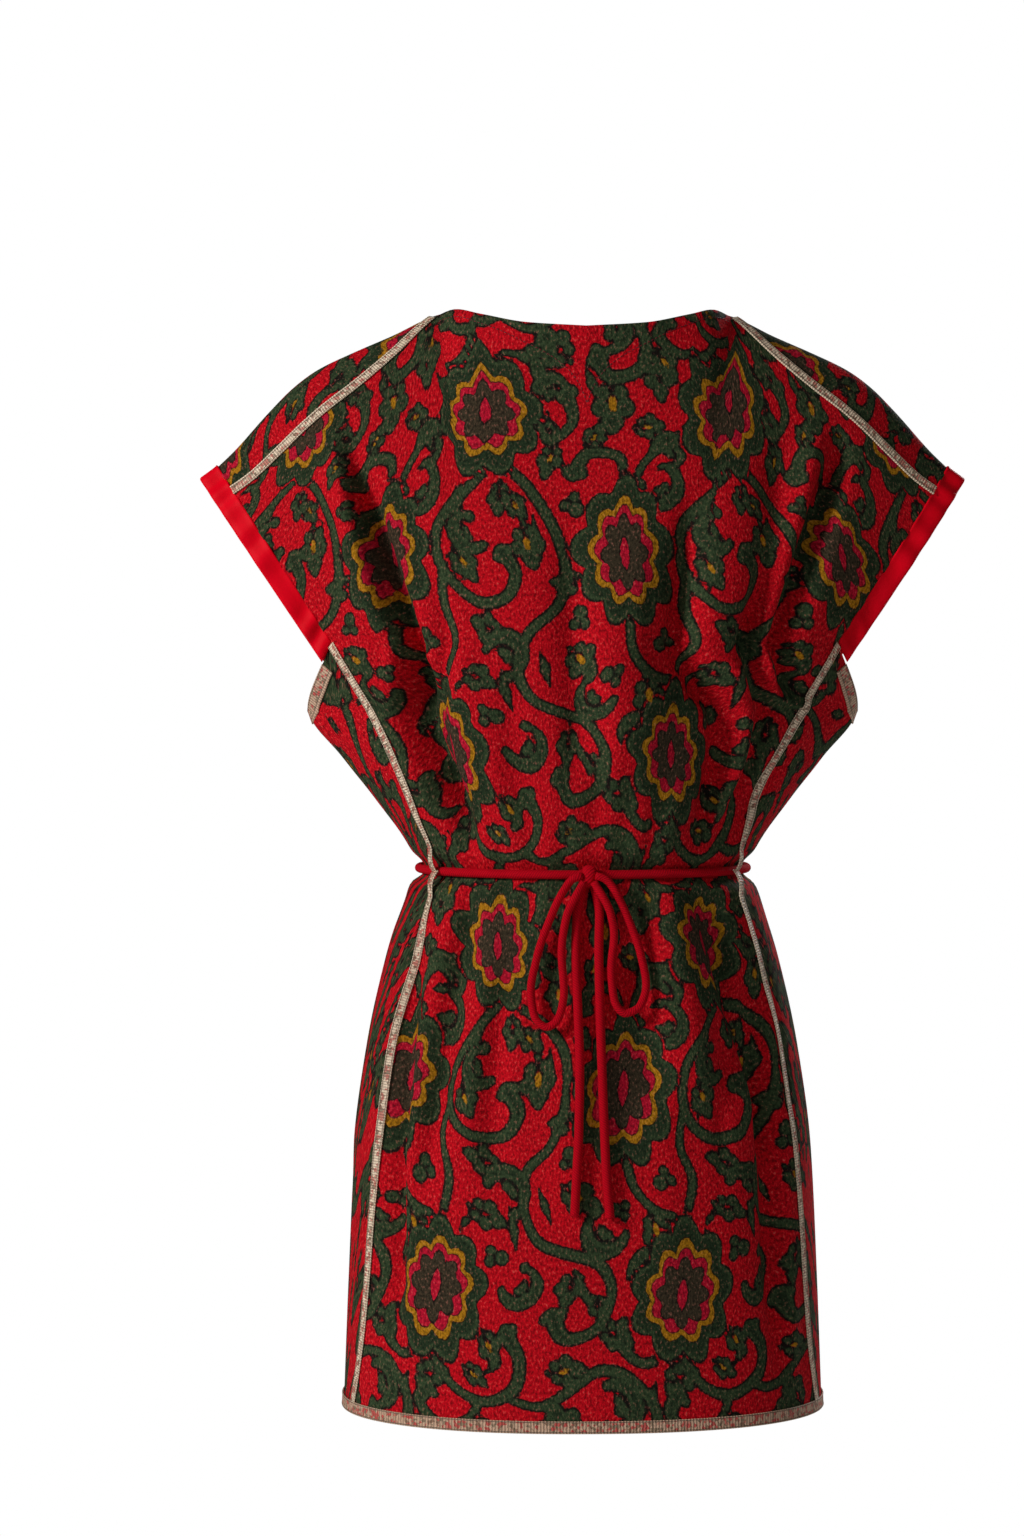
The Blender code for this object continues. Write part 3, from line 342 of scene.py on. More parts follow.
# Creases that only the visible cloth has, in rows like those of the folds
CREASES = [
    (-1.425, 0.24, -1.53, 2.99, 0.0100, -0.0210),
    (-1.50, 1.20, -1.535, 2.99, 0.0110, -0.0060),
    (-1.375, 0.28, -1.475, 2.80, 0.013, 0.0075),
    (-1.475, 0.40, -1.555, 2.60, 0.012, 0.0050),
    (-1.58, 0.75, -1.585, 2.75, 0.0070, -0.0070),
    (-1.63, 0.90, -1.63, 2.80, 0.013, 0.0045),
    (-1.95, 0.60, -1.97, 2.60, 0.011, -0.0050),
    (1.372, 0.28, 1.39, 1.90, 0.0108, -0.0230),
    (1.50, 0.70, 1.48, 2.99, 0.0098, -0.0215),
    (1.44, 0.28, 1.445, 1.90, 0.014, 0.0070),
    (1.74, 0.55, 1.575, 2.99, 0.0105, -0.0200),
    (1.72, 0.90, 1.63, 2.95, 0.013, 0.0065),
    (1.57, 1.20, 1.52, 2.95, 0.012, 0.0070),
    (1.42, 1.00, 1.40, 2.90, 0.010, -0.0080),
    (1.47, 1.20, 1.47, 2.80, 0.010, 0.0045),
    (1.58, 3.00, 1.43, 3.55, 0.0095, -0.0110),
    (1.62, 3.00, 1.49, 3.50, 0.011, 0.0050),
    (1.42, 3.15, 1.44, 3.95, 0.011, -0.0090),
    (1.37, 3.20, 1.38, 3.95, 0.012, 0.0040),
    (-1.36, 3.05, -1.44, 3.90, 0.0105, -0.0085),
    (-1.41, 3.05, -1.49, 3.90, 0.012, 0.0040),
    (-1.72, 3.00, -1.76, 3.60, 0.010, -0.0060),
    (1.85, 3.00, 1.84, 3.45, 0.009, -0.0060),
    (-1.58, 3.00, -1.55, 3.60, 0.010, -0.0050),
    (0.42, 0.50, 0.55, 2.90, 0.011, -0.0130),
    (0.49, 0.60, 0.61, 2.90, 0.012, 0.0050),
    (-0.38, 0.70, -0.50, 2.92, 0.011, -0.0140),
    (-0.31, 0.90, -0.43, 2.90, 0.012, 0.0050),
    (0.04, 1.00, 0.00, 2.95, 0.010, -0.0100),
    (-1.30, 0.50, -1.36, 1.60, 0.008, -0.0022),
    (-1.47, 0.90, -1.53, 2.10, 0.008, -0.0020),
    (-1.62, 0.40, -1.60, 1.80, 0.009, 0.0016),
    (-1.80, 1.10, -1.78, 2.70, 0.009, -0.0024),
    (-1.90, 1.90, -1.90, 2.85, 0.007, 0.0018),
    (1.98, 1.30, 1.96, 2.80, 0.007, -0.0026),
    (1.86, 0.60, 1.80, 2.00, 0.008, 0.0018),
    (1.70, 0.50, 1.66, 1.60, 0.009, -0.0020),
    (1.60, 1.20, 1.50, 2.60, 0.007, -0.0024),
    (1.45, 0.90, 1.37, 2.30, 0.008, 0.0020),
    (1.34, 0.50, 1.30, 1.20, 0.008, -0.0022),
    (1.88, 3.02, 1.90, 3.50, 0.007, -0.0020),
    (1.62, 3.02, 1.64, 3.60, 0.007, -0.0022),
    (1.80, 3.05, 1.82, 3.80, 0.010, 0.0018),
    (-1.70, 3.02, -1.68, 3.50, 0.008, 0.0020),
    (-1.50, 3.05, -1.48, 3.65, 0.008, 0.0016),
    (-1.78, 3.05, -1.75, 3.40, 0.007, -0.0018),
    (-1.30, 3.05, -1.28, 3.60, 0.007, 0.0018),
    (1.28, 3.02, 1.30, 3.50, 0.007, -0.0018),
    (0.55, 0.60, 0.62, 2.40, 0.009, -0.0022),
    (-0.55, 0.50, -0.62, 2.50, 0.009, 0.0020),
    (0.12, 1.20, 0.12, 2.80, 0.008, -0.0022),
    (-0.10, 0.60, -0.14, 2.10, 0.009, -0.0020),
    (-0.82, 0.90, -0.90, 2.70, 0.008, -0.0018),
    (0.88, 1.00, 0.93, 2.70, 0.008, -0.0018),
    (0.15, 3.02, 0.18, 3.60, 0.008, -0.0020),
    (-0.15, 3.02, -0.17, 3.50, 0.008, 0.0020),
    (0.52, 3.02, 0.50, 3.60, 0.008, 0.0020),
    (-0.52, 3.05, -0.50, 3.70, 0.008, -0.0018),
    (0.95, 3.05, 0.96, 3.70, 0.009, -0.0016),
    (-0.95, 3.05, -0.96, 3.60, 0.009, 0.0016),
]


def column(table, names, name):
    """One named column of a table, as an array."""
    return np.array([row[names.index(name)] for row in table], float)


def smooth_curve(known, values):
    """A function that runs smoothly through the values without overshooting them."""
    order = np.argsort(known)
    known, values = np.asarray(known, float)[order], np.asarray(values, float)[order]
    steps = np.diff(known)
    slopes = np.diff(values) / steps
    tangents = np.empty_like(values)
    tangents[0], tangents[-1] = slopes[0], slopes[-1]
    before, after = slopes[:-1], slopes[1:]
    same = before * after > 0
    mean = 2 * before * after / np.where(same, before + after, 1)
    tangents[1:-1] = np.where(same, mean, 0)

    def curve(where):
        where = np.clip(where, known[0], known[-1])
        at = np.clip(np.searchsorted(known, where, side="right") - 1, 0, len(steps) - 1)
        share = (where - known[at]) / steps[at]
        rise = values[at + 1] - values[at]
        cubic = share * share * (3 - 2 * share)
        first = share * (1 - share) ** 2 * tangents[at] * steps[at]
        last = -share * share * (1 - share) * tangents[at + 1] * steps[at]
        return values[at] + rise * cubic + first + last

    return curve


def table_curves(table, names):
    """A smooth curve for each column of a table, over its first column."""
    known = column(table, names, names[0])
    return {name: smooth_curve(known, column(table, names, name)) for name in names[1:]}


TOP = table_curves(TOP_LINE, TOP_COLUMNS)
SECTION = table_curves(SECTIONS, SECTION_COLUMNS)
UPPER = table_curves(CHEST, CHEST_COLUMNS)
GAPING = table_curves(OPENING, OPENING_COLUMNS)
SEAM = table_curves(SIDE_SEAM, SEAM_COLUMNS)


def level_height(level):
    known = [row[0] for row in LEVEL_HEIGHTS]
    return np.interp(level, known, [row[1] for row in LEVEL_HEIGHTS])


def quarter_turn(level):
    """The angle that across values from 0 to 1 span at a level."""
    return math.pi / 2 * (OPEN_TURN + (1 - OPEN_TURN) * np.clip(level - UNDERARM, 0, 1))


def reach_of(share, level, roundness):
    span = quarter_turn(level)
    return (np.sin(share * span) / np.sin(span)) ** (2 / roundness)


def share_of(reach, level, roundness):
    span = quarter_turn(level)
    return np.arcsin(np.clip(reach, 0, 1) ** (roundness / 2) * np.sin(span)) / span


NECK_SHARE = float(share_of(NECK_POINT / SHOULDER_END, 0.0, ELLIPSE))


def plain_point(sheet, across, level):
    """The surface before its folds. Past a side, or over a shoulder, the place is on the other sheet."""
    sheet, across, level = np.broadcast_arrays(sheet, np.asarray(across, float), np.asarray(level, float))
    past = np.abs(across) > 1
    sheet = np.where(past ^ (level < 0), -sheet, sheet)
    side = np.where(across < 0, -1.0, 1.0)
    share = np.where(past, 2 - np.abs(across), np.abs(across))
    level = np.abs(level)
    height = level_height(level)
    upper = np.clip(level, 0, 1)
    fall = (1 + SHOULDER_ROUNDING) * upper ** 2 / (upper + SHOULDER_ROUNDING)
    roundness = np.where(level < 1, ELLIPSE + (SECTION["roundness"](height) - ELLIPSE) * fall,
                         SECTION["roundness"](height))
    reach = np.clip(reach_of(share, level, roundness), 0, 1)
    in_front = sheet < 0

    # Half width: the edge has corners of its own, which the cloth inside it doesn't follow
    edge_width = SECTION["edge_width"](height)
    width = SECTION["width"](height)
    edge_width = np.where(level < 1, SHOULDER_END + (edge_width - SHOULDER_END) * fall, edge_width)
    width = np.where(level < 1, SHOULDER_END + (width - SHOULDER_END) * fall, width)
    half_width = width + (edge_width - width) * reach ** EDGE_SHARPNESS
    x = side * half_width * reach

    # Depth: open lens at the cuffs and ribbons, closed round section below them
    top_at = SHOULDER_END * reach_of(share, 0.0, ELLIPSE)
    neck = np.where(in_front, TOP["front"](top_at), TOP["back"](top_at))
    middle = np.where(
        level < 1,
        np.where(in_front, UPPER["front"](upper), UPPER["back"](upper)),
        np.where(in_front, SECTION["front"](height), SECTION["back"](height)),
    )
    gap = GAPING["half_depth"](level)
    open_side = 1 - reach ** UPPER["flatness"](upper)
    round_side = (1 - reach ** roundness) ** (1 / roundness)
    closing = fade((level - FLAP_ROUNDS_FROM) / (WAIST - FLAP_ROUNDS_FROM))
    profile = open_side + (round_side - open_side) * closing
    depth = gap + (middle - gap) * profile
    filled = 1 - (1 - upper) ** SHOULDER_FULLNESS
    depth = neck * (1 - filled) + depth * filled

    top_height = TOP["height"](top_at)
    z = np.where(level < 1, top_height + (height - top_height) * fall, height)
    return np.stack([x, sheet * depth, z], axis=-1)


def surface_frame(point_at, sheet, across, level, step=0.004):
    """The two tangents and the outward normal of a surface. Open edges are measured from one side."""
    sheet, across, level = np.broadcast_arrays(sheet, np.asarray(across, float), np.asarray(level, float))
    limit = np.where(level < RIBBON_TIP - 1e-6, 1.0, 2.0)
    before = np.clip(across - step, -limit, limit)
    after = np.clip(across + step, -limit, limit)
    along = (point_at(sheet, after, level) - point_at(sheet, before, level)) / (after - before)[..., None]
    lowest = np.where((np.abs(across) < NECK_SHARE) & (level >= 0), 0.0, -1.0)
    above = np.clip(level - step, lowest, HEM)
    below = np.clip(level + step, lowest, HEM)
    down = (point_at(sheet, across, below) - point_at(sheet, across, above)) / (below - above)[..., None]
    normal = np.cross(along, down) * sheet[..., None]
    normal /= np.linalg.norm(normal, axis=-1, keepdims=True)
    return along, down, normal


def fade(value):
    """0 at 0 and below, 1 at 1 and above, smooth between."""
    value = np.clip(value, 0, 1)
    return value * value * (3 - 2 * value)


def fold_height(sheet, across, level):
    """How far the folds, the gathers and the groove under the cord move the cloth outwards."""
    past = np.abs(across) > 1
    sheet = np.where(past ^ (level < 0), -sheet, sheet)
    side = np.where(across < 0, -1.0, 1.0)
    share = np.where(past, 2 - np.abs(across), np.abs(across))
    level = np.abs(level)
    turn = side * np.where(sheet < 0, 2 - share, share)
    z = np.where(level < 1, UNDERARM_HEIGHT * level, level_height(level))
    cloth_width = np.where(level < 1, SHOULDER_END + (UNDERARM_WIDTH - SHOULDER_END) * level,
                           SECTION["width"](z))
    girth = TURN_LENGTH * cloth_width

    total = np.zeros(np.broadcast(turn, level).shape)
    for table, (start_share, end_share) in ((FOLDS, FOLD_EASE), (CREASES, CREASE_EASE)):
        for turn_top, level_top, turn_end, level_end, half_width, height in table:
            along = (level - level_top) / (level_end - level_top)
            middle = turn_top + (turn_end - turn_top) * fade(along)
            aside = ((turn - middle + 2) % 4 - 2) * girth
            window = fade(along / start_share) * fade((1 - along) / end_share)
            total += height * window * np.exp(-((aside / half_width) ** 2))
    drop = WAIST_HEIGHT - z
    away = np.abs(drop)
    clear_of_cord = GATHER_UNDER_CORD + (1 - GATHER_UNDER_CORD) * fade(away / GATHER_FADE)
    for turn_at, height, reach_up, reach_down in GATHERS:
        aside = ((turn - turn_at + 2) % 4 - 2) * girth
        reach = np.where(drop < 0, reach_up, reach_down)
        window = clear_of_cord * np.exp(-((away / reach) ** 2) * GATHER_FALL)
        total += height * window * np.exp(-((aside / GATHER_HALF_WIDTH) ** 2))
    total -= GROOVE_DEPTH * np.exp(-((drop / GROOVE_HALF_HEIGHT) ** 2))
    return total * fade(level / FOLDS_FULL_AT)


def surface_point(sheet, across, level):
    normal = surface_frame(plain_point, sheet, across, level)[2]
    return plain_point(sheet, across, level) + normal * fold_height(sheet, across, level)[..., None]


def seam_share(level):
    """Across value of the side seam on the front sheet."""
    height = level_height(level)
    wanted = SEAM["across"](height)
    edge_width, width = SECTION["edge_width"](height), SECTION["width"](height)
    reach = np.full(np.shape(level), 0.8)
    for _ in range(12):
        reach = np.clip(wanted / (width + (edge_width - width) * reach ** EDGE_SHARPNESS), 0, 1)
    share = share_of(reach, level, SECTION["roundness"](height))
    return np.where(level <= UNDERARM, 1.0, share)


def shoulder_seam_level(across):
    along = (np.abs(across) - NECK_SHARE) / (1 - NECK_SHARE)
    start, end = SHOULDER_SEAM
    inside = np.clip(along, 0, 1)
    dip = SHOULDER_SEAM_DIP * np.sin(math.pi * inside ** SHOULDER_DIP_SKEW)
    return np.where(along < -1e-9, 0.0, start + (end - start) * inside + dip)


def unit(vectors):
    return vectors / np.maximum(np.linalg.norm(vectors, axis=-1, keepdims=True), 1e-12)


def travelled_along(line):
    """Distance travelled along a line at each of its points."""
    return np.concatenate([[0], np.cumsum(np.linalg.norm(np.diff(line, axis=0), axis=1))])


def even_shares(neck_cells, shoulder_cells):
    """Across values of a panel's columns, with one on each neck point."""
    inner = np.linspace(-NECK_SHARE, NECK_SHARE, neck_cells + 1)
    outer = np.linspace(NECK_SHARE, 1, shoulder_cells + 1)[1:]
    return np.concatenate([-outer[::-1], inner, outer])


def skirt_levels(first, cells_above, cells_below):
    """Levels of the rows from the underarm or the ribbon tip down to the hem."""
    return np.concatenate([np.linspace(first, WAIST, cells_above + 1),
                           np.linspace(WAIST, HEM, cells_below + 1)[1:]])


# The print's repeat and its rosettes: place, half width and height, and how pointed the top is
PRINT_WIDTH, PRINT_HEIGHT = 0.192, 0.405
PRINT_START = (-0.081, 0.075)
ROSETTES = [
    (0.000, 0.000, 0.041, 0.048, 0.35),
    (0.110, 0.112, 0.039, 0.055, 0.60),
    (-0.038, 0.262, 0.038, 0.052, 0.50),
]
ROSETTE_LOBES, LOBE_DEPTH = 9, 0.24
BLOOM_PETALS, PETAL_DEPTH = 8, 0.36
# Width of the bare ground left round each rosette
ROSETTE_ROOM = 0.0022
# Stems, in millimetres of cloth across and down, with the half width at each point
STEMS = [
    [(2, 44, 4), (-16, 66, 4.2), (-34, 94, 4.4), (-32, 126, 4.4), (-10, 146, 4.4), (16, 142, 4.8),
     (26, 122, 5.6), (16, 106, 7)],
    [(-32, 122, 3.6), (-36, 150, 4), (-28, 176, 4), (-36, 204, 3.6)],
    [(14, 42, 4), (38, 58, 4.2), (58, 84, 4.4), (64, 116, 4.4), (54, 148, 4.2), (32, 168, 4.2),
     (26, 192, 4.2), (38, 216, 4.2), (62, 228, 4.4), (86, 240, 4.4), (98, 264, 4.4), (88, 290, 4.6),
     (64, 294, 5.2), (56, 276, 6.8)],
    [(110, 164, 4), (114, 188, 4), (130, 204, 4), (152, 208, 3.6)],
    [(-38, 310, 4), (-26, 332, 4.2), (0, 340, 4.4), (24, 328, 4.6), (32, 306, 5), (22, 288, 6.6)],
    [(18, 334, 3.4), (40, 340, 4), (64, 330, 4.2), (90, 320, 4.2), (114, 328, 4.4), (128, 350, 4.4),
     (122, 376, 4.8), (100, 382, 5.4), (92, 366, 6.8)],
    [(34, 10, 3.6), (52, 20, 4.2), (68, 6, 4.8), (64, -16, 6.4)],
    [(108, 62, 3.6), (102, 38, 4.2), (80, 34, 5), (72, 50, 6.4)],
    [(114, 62, 3.6), (124, 40, 4), (142, 26, 4), (158, 14, 4)],
    [(-2, 340, 3.6), (-14, 358, 4), (-38, 366, 4.2), (-54, 352, 5), (-46, 338, 6)],
    [(-44, 306, 3.6), (-66, 318, 4), (-82, 304, 5), (-76, 288, 6)],
]
# Lobed leaves: place, size in millimetres, and the way the leaf points, in degrees from across to down
LEAVES = [
    (38, 98, 19, 80), (-4, 200, 15, 20), (72, 190, 17, 40), (66, 254, 15, 100), (8, 298, 14, 60),
    (104, 296, 16, 30), (62, 316, 15, 0), (60, 356, 19, 230), (140, 374, 15, 60), (150, 326, 15, 330),
    (98, -4, 20, 95), (48, -46, 17, 120), (122, 14, 13, 0), (134, -20, 16, 90), (52, 36, 15, 100),
    (14, 64, 13, 90), (-62, 218, 17, 70), (66, 130, 14, 180), (-16, 118, 15, 60), (0, 164, 14, 200),
    (28, 70, 12, 40), (88, 272, 12, 60), (-6, 320, 12, 30), (48, 12, 12, 200), (84, 20, 12, 300),
]
# Crescent leaves with a small three-lobed heart: middle, radius, start and sweep in degrees
CRESCENTS = [
    (14, 184, 15, 200, 230), (90, 216, 15, 20, 220), (28, 252, 15, 160, -240), (100, 346, 16, 250, 230),
    (28, 376, 16, 60, 230), (-54, 62, 16, 300, 240), (140, 36, 13, 200, 220), (-66, 246, 13, 90, 220),
    (52, -14, 14, 120, 230), (-8, 92, 13, 40, 230),
]
# Thin pointed leaves: both ends, and the half width of the middle
SPINDLES = [
    (44, 76, 48, 112, 4.5), (-8, 108, -20, 134, 4.0), (14, 192, 22, 226, 4.5), (72, 250, 84, 276, 4.0),
    (2, 318, 18, 308, 3.0), (100, 336, 112, 362, 4.0), (-10, 62, -24, 86, 4.0), (82, -34, 88, -8, 4.5),
    (130, 50, 146, 42, 3.5), (-24, 216, -14, 200, 3.0), (-60, 330, -70, 352, 4.0), (40, 180, 50, 206, 4.0),
]
# Sprigs fill what room is left: the least room for one, their number, and a lobe's place and size in it
LEAST_SPRIG_ROOM = 0.0125
LARGEST_SPRIG = 0.0115
SPRIGS = 16
SPRIG_TURN = 2.4
SPRIG_LOBE_OUT, SPRIG_LOBE_RADIUS = 0.62, 0.56
# Lobes of a leaf, along it and aside, with their radius, as shares of its size
LEAF_LOBES = [(0.62, 0, 0.40), (0.95, 0, 0.22), (0.12, 0.42, 0.36), (0.12, -0.42, 0.36), (-0.42, 0.30, 0.28),
              (-0.42, -0.30, 0.28), (-0.80, 0, 0.16)]
# A stem that ends wider than this carries two petals at its end: how far aside and back, and how large
CURLED_END = 0.0055
CURL_ASIDE, CURL_BACK, CURL_RADIUS = 0.0058, 0.001, 0.0046
# A crescent's half width at its ends and how much it swells, in millimetres, and its end's round lobe
CRESCENT_STEPS = 11
CRESCENT_THIN, CRESCENT_SWELL, CRESCENT_FROM = 1.4, 4.6, 0.15
CRESCENT_LOBE = 0.0048
# The heart in a crescent: reach as a share of its radius, spread in radians, and metres of lobe a millimetre
HEART_REACH, HEART_SPREAD, HEART_LOBE = 0.30, 0.9, 0.00026
SPINDLE_TIP = 0.4
DOT_SIZE = 0.00014
PRINT_WAVER = 0.0035


def apart(u, v, place):
    """Offsets from a point of the print to cloth points, in the nearest repeat."""
    aside = (u - place[0] + PRINT_WIDTH / 2) % PRINT_WIDTH - PRINT_WIDTH / 2
    down = (v - place[1] + PRINT_HEIGHT / 2) % PRINT_HEIGHT - PRINT_HEIGHT / 2
    return aside, down


def joined(first, second, blend=0.0022):
    """Two shapes as one, with a soft corner between them."""
    overlap = np.clip(blend - np.abs(first - second), 0, None) / blend
    return np.minimum(first, second) - overlap * overlap * blend / 4


def smooth_route(points, steps_each=5):
    """A smooth line through a few points, each with its last value as the half width."""
    points = np.array(points, float) / 1000
    length = travelled_along(points[:, :2])
    even = np.linspace(0, length[-1], steps_each * len(points))
    padded_before = 2 * points[0] - points[1]
    padded_after = 2 * points[-1] - points[-2]
    known = np.vstack([padded_before, points, padded_after])
    at = np.clip(np.searchsorted(length, even, side="right") - 1, 0, len(points) - 2)
    share = ((even - length[at]) / (length[at + 1] - length[at]))[:, None]
    before, start, end, after = known[at], known[at + 1], known[at + 2], known[at + 3]
    squared = 2 * before - 5 * start + 4 * end - after
    cubed = 3 * start - before - 3 * end + after
    return 0.5 * (2 * start + (end - before) * share + squared * share ** 2 + cubed * share ** 3)


def heading_of(degrees):
    """Unit vectors along a heading in the print, from across to down, and square to it."""
    run = np.array([math.cos(math.radians(degrees)), math.sin(math.radians(degrees))])
    return run, np.array([-run[1], run[0]])


def leaf_lobes(u, v, size, pointing):
    """Round lobes of a leaf, in metres: two pairs at its sides and a longer one at its end."""
    run, out = heading_of(pointing)
    middle, size = np.array([u, v]) / 1000, size / 1000
    lobes = []
    for along, aside, radius in LEAF_LOBES:
        place = middle + (run * along + out * aside) * size
        lobes.append((*place, radius * size))
    return lobes


def segments_of(line):
    return [(*first, *last) for first, last in zip(line[:-1], line[1:])]


def scrollwork():
    """Segments and round lobes of the vines and leaves, drawn once for one repeat."""
    segments, petals = [], []
    for stem in STEMS:
        line = smooth_route(stem)
        segments += segments_of(line)
        end, before = line[-1], line[-4]
        run = unit(end[:2] - before[:2])
        out = np.array([-run[1], run[0]])
        if end[2] > CURLED_END:
            petals.append((*(end[:2] + out * CURL_ASIDE - run * CURL_BACK), CURL_RADIUS))
            petals.append((*(end[:2] - out * CURL_ASIDE - run * CURL_BACK), CURL_RADIUS))
    for leaf in LEAVES:
        petals += leaf_lobes(*leaf)
    for u, v, radius, begin, sweep in CRESCENTS:
        turns = np.radians(begin + sweep * np.linspace(0, 1, CRESCENT_STEPS))
        width_turns = np.linspace(CRESCENT_FROM, 1, CRESCENT_STEPS) * math.pi
        half_width = CRESCENT_THIN + CRESCENT_SWELL * np.sin(width_turns) ** 0.8
        line = np.stack([u + radius * np.cos(turns), v + radius * np.sin(turns), half_width], axis=1) / 1000
        segments += segments_of(line)
        petals.append((*line[-1, :2], CRESCENT_LOBE))
        middle = turns[CRESCENT_STEPS // 2]
        for aside in (-HEART_SPREAD, 0, HEART_SPREAD):
            reach = radius * HEART_REACH
            petals.append(((u + reach * math.cos(middle + aside)) / 1000,
                           (v + reach * math.sin(middle + aside)) / 1000, radius * HEART_LOBE))
    for u_one, v_one, u_two, v_two, half in SPINDLES:
        middle = ((u_one + u_two) / 2, (v_one + v_two) / 2)
        segments += segments_of(np.array([(u_one, v_one, SPINDLE_TIP), (*middle, half),
                                          (u_two, v_two, SPINDLE_TIP)]) / 1000)
    return segments, petals


def rosette_rings(u, v, petals, scallop):
    """Distance from the nearest rosette's middle as a share of the way to its scalloped edge."""
    nearest = np.full(np.shape(u), 9.0)
    edge = np.full(np.shape(u), 0.04)
    for place_u, place_v, half_width, half_height, pointed in ROSETTES:
        aside, down = apart(u, v, (place_u, place_v))
        rise = np.clip(-down / half_height, 0, 1.4)
        width = half_width * (1 - 0.55 * pointed * rise ** 1.6)
        turn = np.arctan2(aside / half_width, -down / half_height)
        reach = np.hypot(aside / width, down / half_height)
        reach = reach / (1 + scallop * (np.abs(np.cos(turn * petals / 2)) - 0.6))
        edge = np.where(reach < nearest, half_width, edge)
        nearest = np.minimum(nearest, reach)
    return nearest, edge


def rosette_core(u, v):
    """Distance from the pointed red middle of the nearest rosette, as a share of its own size."""
    nearest = np.full(np.shape(u), 9.0)
    for place_u, place_v, half_width, half_height, pointed in ROSETTES:
        aside, down = apart(u, v, (place_u, place_v))
        reach = np.abs(aside) / (0.12 * half_width) + (down / (0.27 * half_height)) ** 2
        nearest = np.minimum(nearest, reach)
    return nearest


def dots(u, v):
    """Distance in metres from the ochre hearts of the lobed leaves: below zero is on them."""
    field = np.full(np.shape(u), 1.0)
    for leaf_u, leaf_v, size, pointing in LEAVES[::2]:
        aside, down = apart(u, v, (leaf_u / 1000, leaf_v / 1000))
        run, out = heading_of(pointing)
        along = aside * run[0] + down * run[1]
        across = aside * out[0] + down * out[1]
        field = np.minimum(field, np.hypot(along * 0.5, across) - DOT_SIZE * size)
    return field


def green_shapes(u, v, segments, petals):
    """Signed distance in metres to the vines, petals and rosettes: below zero is on them."""
    reach, edge = rosette_rings(u, v, ROSETTE_LOBES, LOBE_DEPTH)
    rosette = (reach - 1) * edge
    field = np.full(np.shape(u), 1.0)
    for u_one, v_one, half_one, u_two, v_two, half_two in segments:
        aside, down = apart(u, v, (u_one, v_one))
        long_u, long_v = u_two - u_one, v_two - v_one
        share = np.clip((aside * long_u + down * long_v) / (long_u ** 2 + long_v ** 2), 0, 1)
        away = np.hypot(aside - share * long_u, down - share * long_v)
        field = np.minimum(field, away - half_one - (half_two - half_one) * share)
    for u_at, v_at, radius in petals:
        aside, down = apart(u, v, (u_at, v_at))
        field = joined(field, np.hypot(aside, down) - radius)
    return np.minimum(np.maximum(field, ROSETTE_ROOM - rosette), rosette)


def add_sprigs(segments, petals):
    """Small three-lobed leaves in the largest gaps of the print."""
    u, v = np.meshgrid(np.linspace(0, PRINT_WIDTH, 64, endpoint=False),
                       np.linspace(0, PRINT_HEIGHT, 135, endpoint=False))
    field = green_shapes(u, v, segments, petals)
    for which in range(SPRIGS):
        row, col = np.unravel_index(int(np.argmax(field)), field.shape)
        room = field[row, col]
        if room < LEAST_SPRIG_ROOM:
            break
        size = min(room * 0.75, LARGEST_SPRIG)
        added = []
        for lobe in range(3):
            angle = SPRIG_TURN * which + lobe * 2 * math.pi / 3
            reach = size * (0.75 if lobe else 1.0)
            added.append((u[row, col] + reach * SPRIG_LOBE_OUT * math.cos(angle),
                          v[row, col] + reach * SPRIG_LOBE_OUT * math.sin(angle), reach * SPRIG_LOBE_RADIUS))
        for petal in added:
            aside, down = apart(u, v, petal[:2])
            field = np.minimum(field, np.hypot(aside, down) - petal[2])
        petals += added


VINE_SEGMENTS, VINE_PETALS = scrollwork()
add_sprigs(VINE_SEGMENTS, VINE_PETALS)


def printed(mesh, u, v):
    """Stores the print on a panel: how far each point is from the vines, and where it is in a rosette."""
    shift_u = PRINT_WAVER * np.sin(v * 41 + 1.3) + 0.5 * PRINT_WAVER * np.sin(u * 67 + v * 23)
    shift_v = PRINT_WAVER * np.sin(u * 37 + 0.4) + 0.5 * PRINT_WAVER * np.sin(v * 59 - u * 19)
    u = u - PRINT_START[0] + shift_u
    v = v - PRINT_START[1] + shift_v
    fields = {
        "vine": green_shapes(u, v, VINE_SEGMENTS, VINE_PETALS),
        "ring": rosette_rings(u, v, ROSETTE_LOBES, LOBE_DEPTH)[0],
        "bloom": rosette_rings(u, v, BLOOM_PETALS, PETAL_DEPTH)[0],
        "core": rosette_core(u, v),
        "dot": dots(u, v),
    }
    for name, field in fields.items():
        layer = mesh.attributes.new(name, "FLOAT", "POINT")
        layer.data.foreach_set("value", np.clip(field, -1, 2).ravel().astype(np.float32))


def cloth_run(points, middle_column, level_row, squeeze):
    """Distances across and down the cloth, in metres, for the print: right at the middle and at one row."""
    along = np.linalg.norm(np.diff(points, axis=1), axis=2)
    across = np.concatenate([np.zeros((len(points), 1)), np.cumsum(along, axis=1)], axis=1)
    across = (across - across[:, middle_column:middle_column + 1]) / squeeze
    row_run = unit(np.gradient(points, axis=1))
    step = np.diff(points, axis=0)
    run = (row_run[1:] + row_run[:-1]) / 2
    step = step - run * (step * run).sum(axis=2, keepdims=True)
    down = np.concatenate([np.zeros((1, points.shape[1])), np.cumsum(np.linalg.norm(step, axis=2), axis=0)])
    down = down - down[level_row] - points[level_row, :, 2]
    return across, down


def eased_folds(sheet, across, level):
    """The surface with its folds let out, so that the print runs evenly across them."""
    plain = plain_point(sheet, across, level)
    return plain + (surface_point(sheet, across, level) - plain) * PRINT_FOLD_SHARE


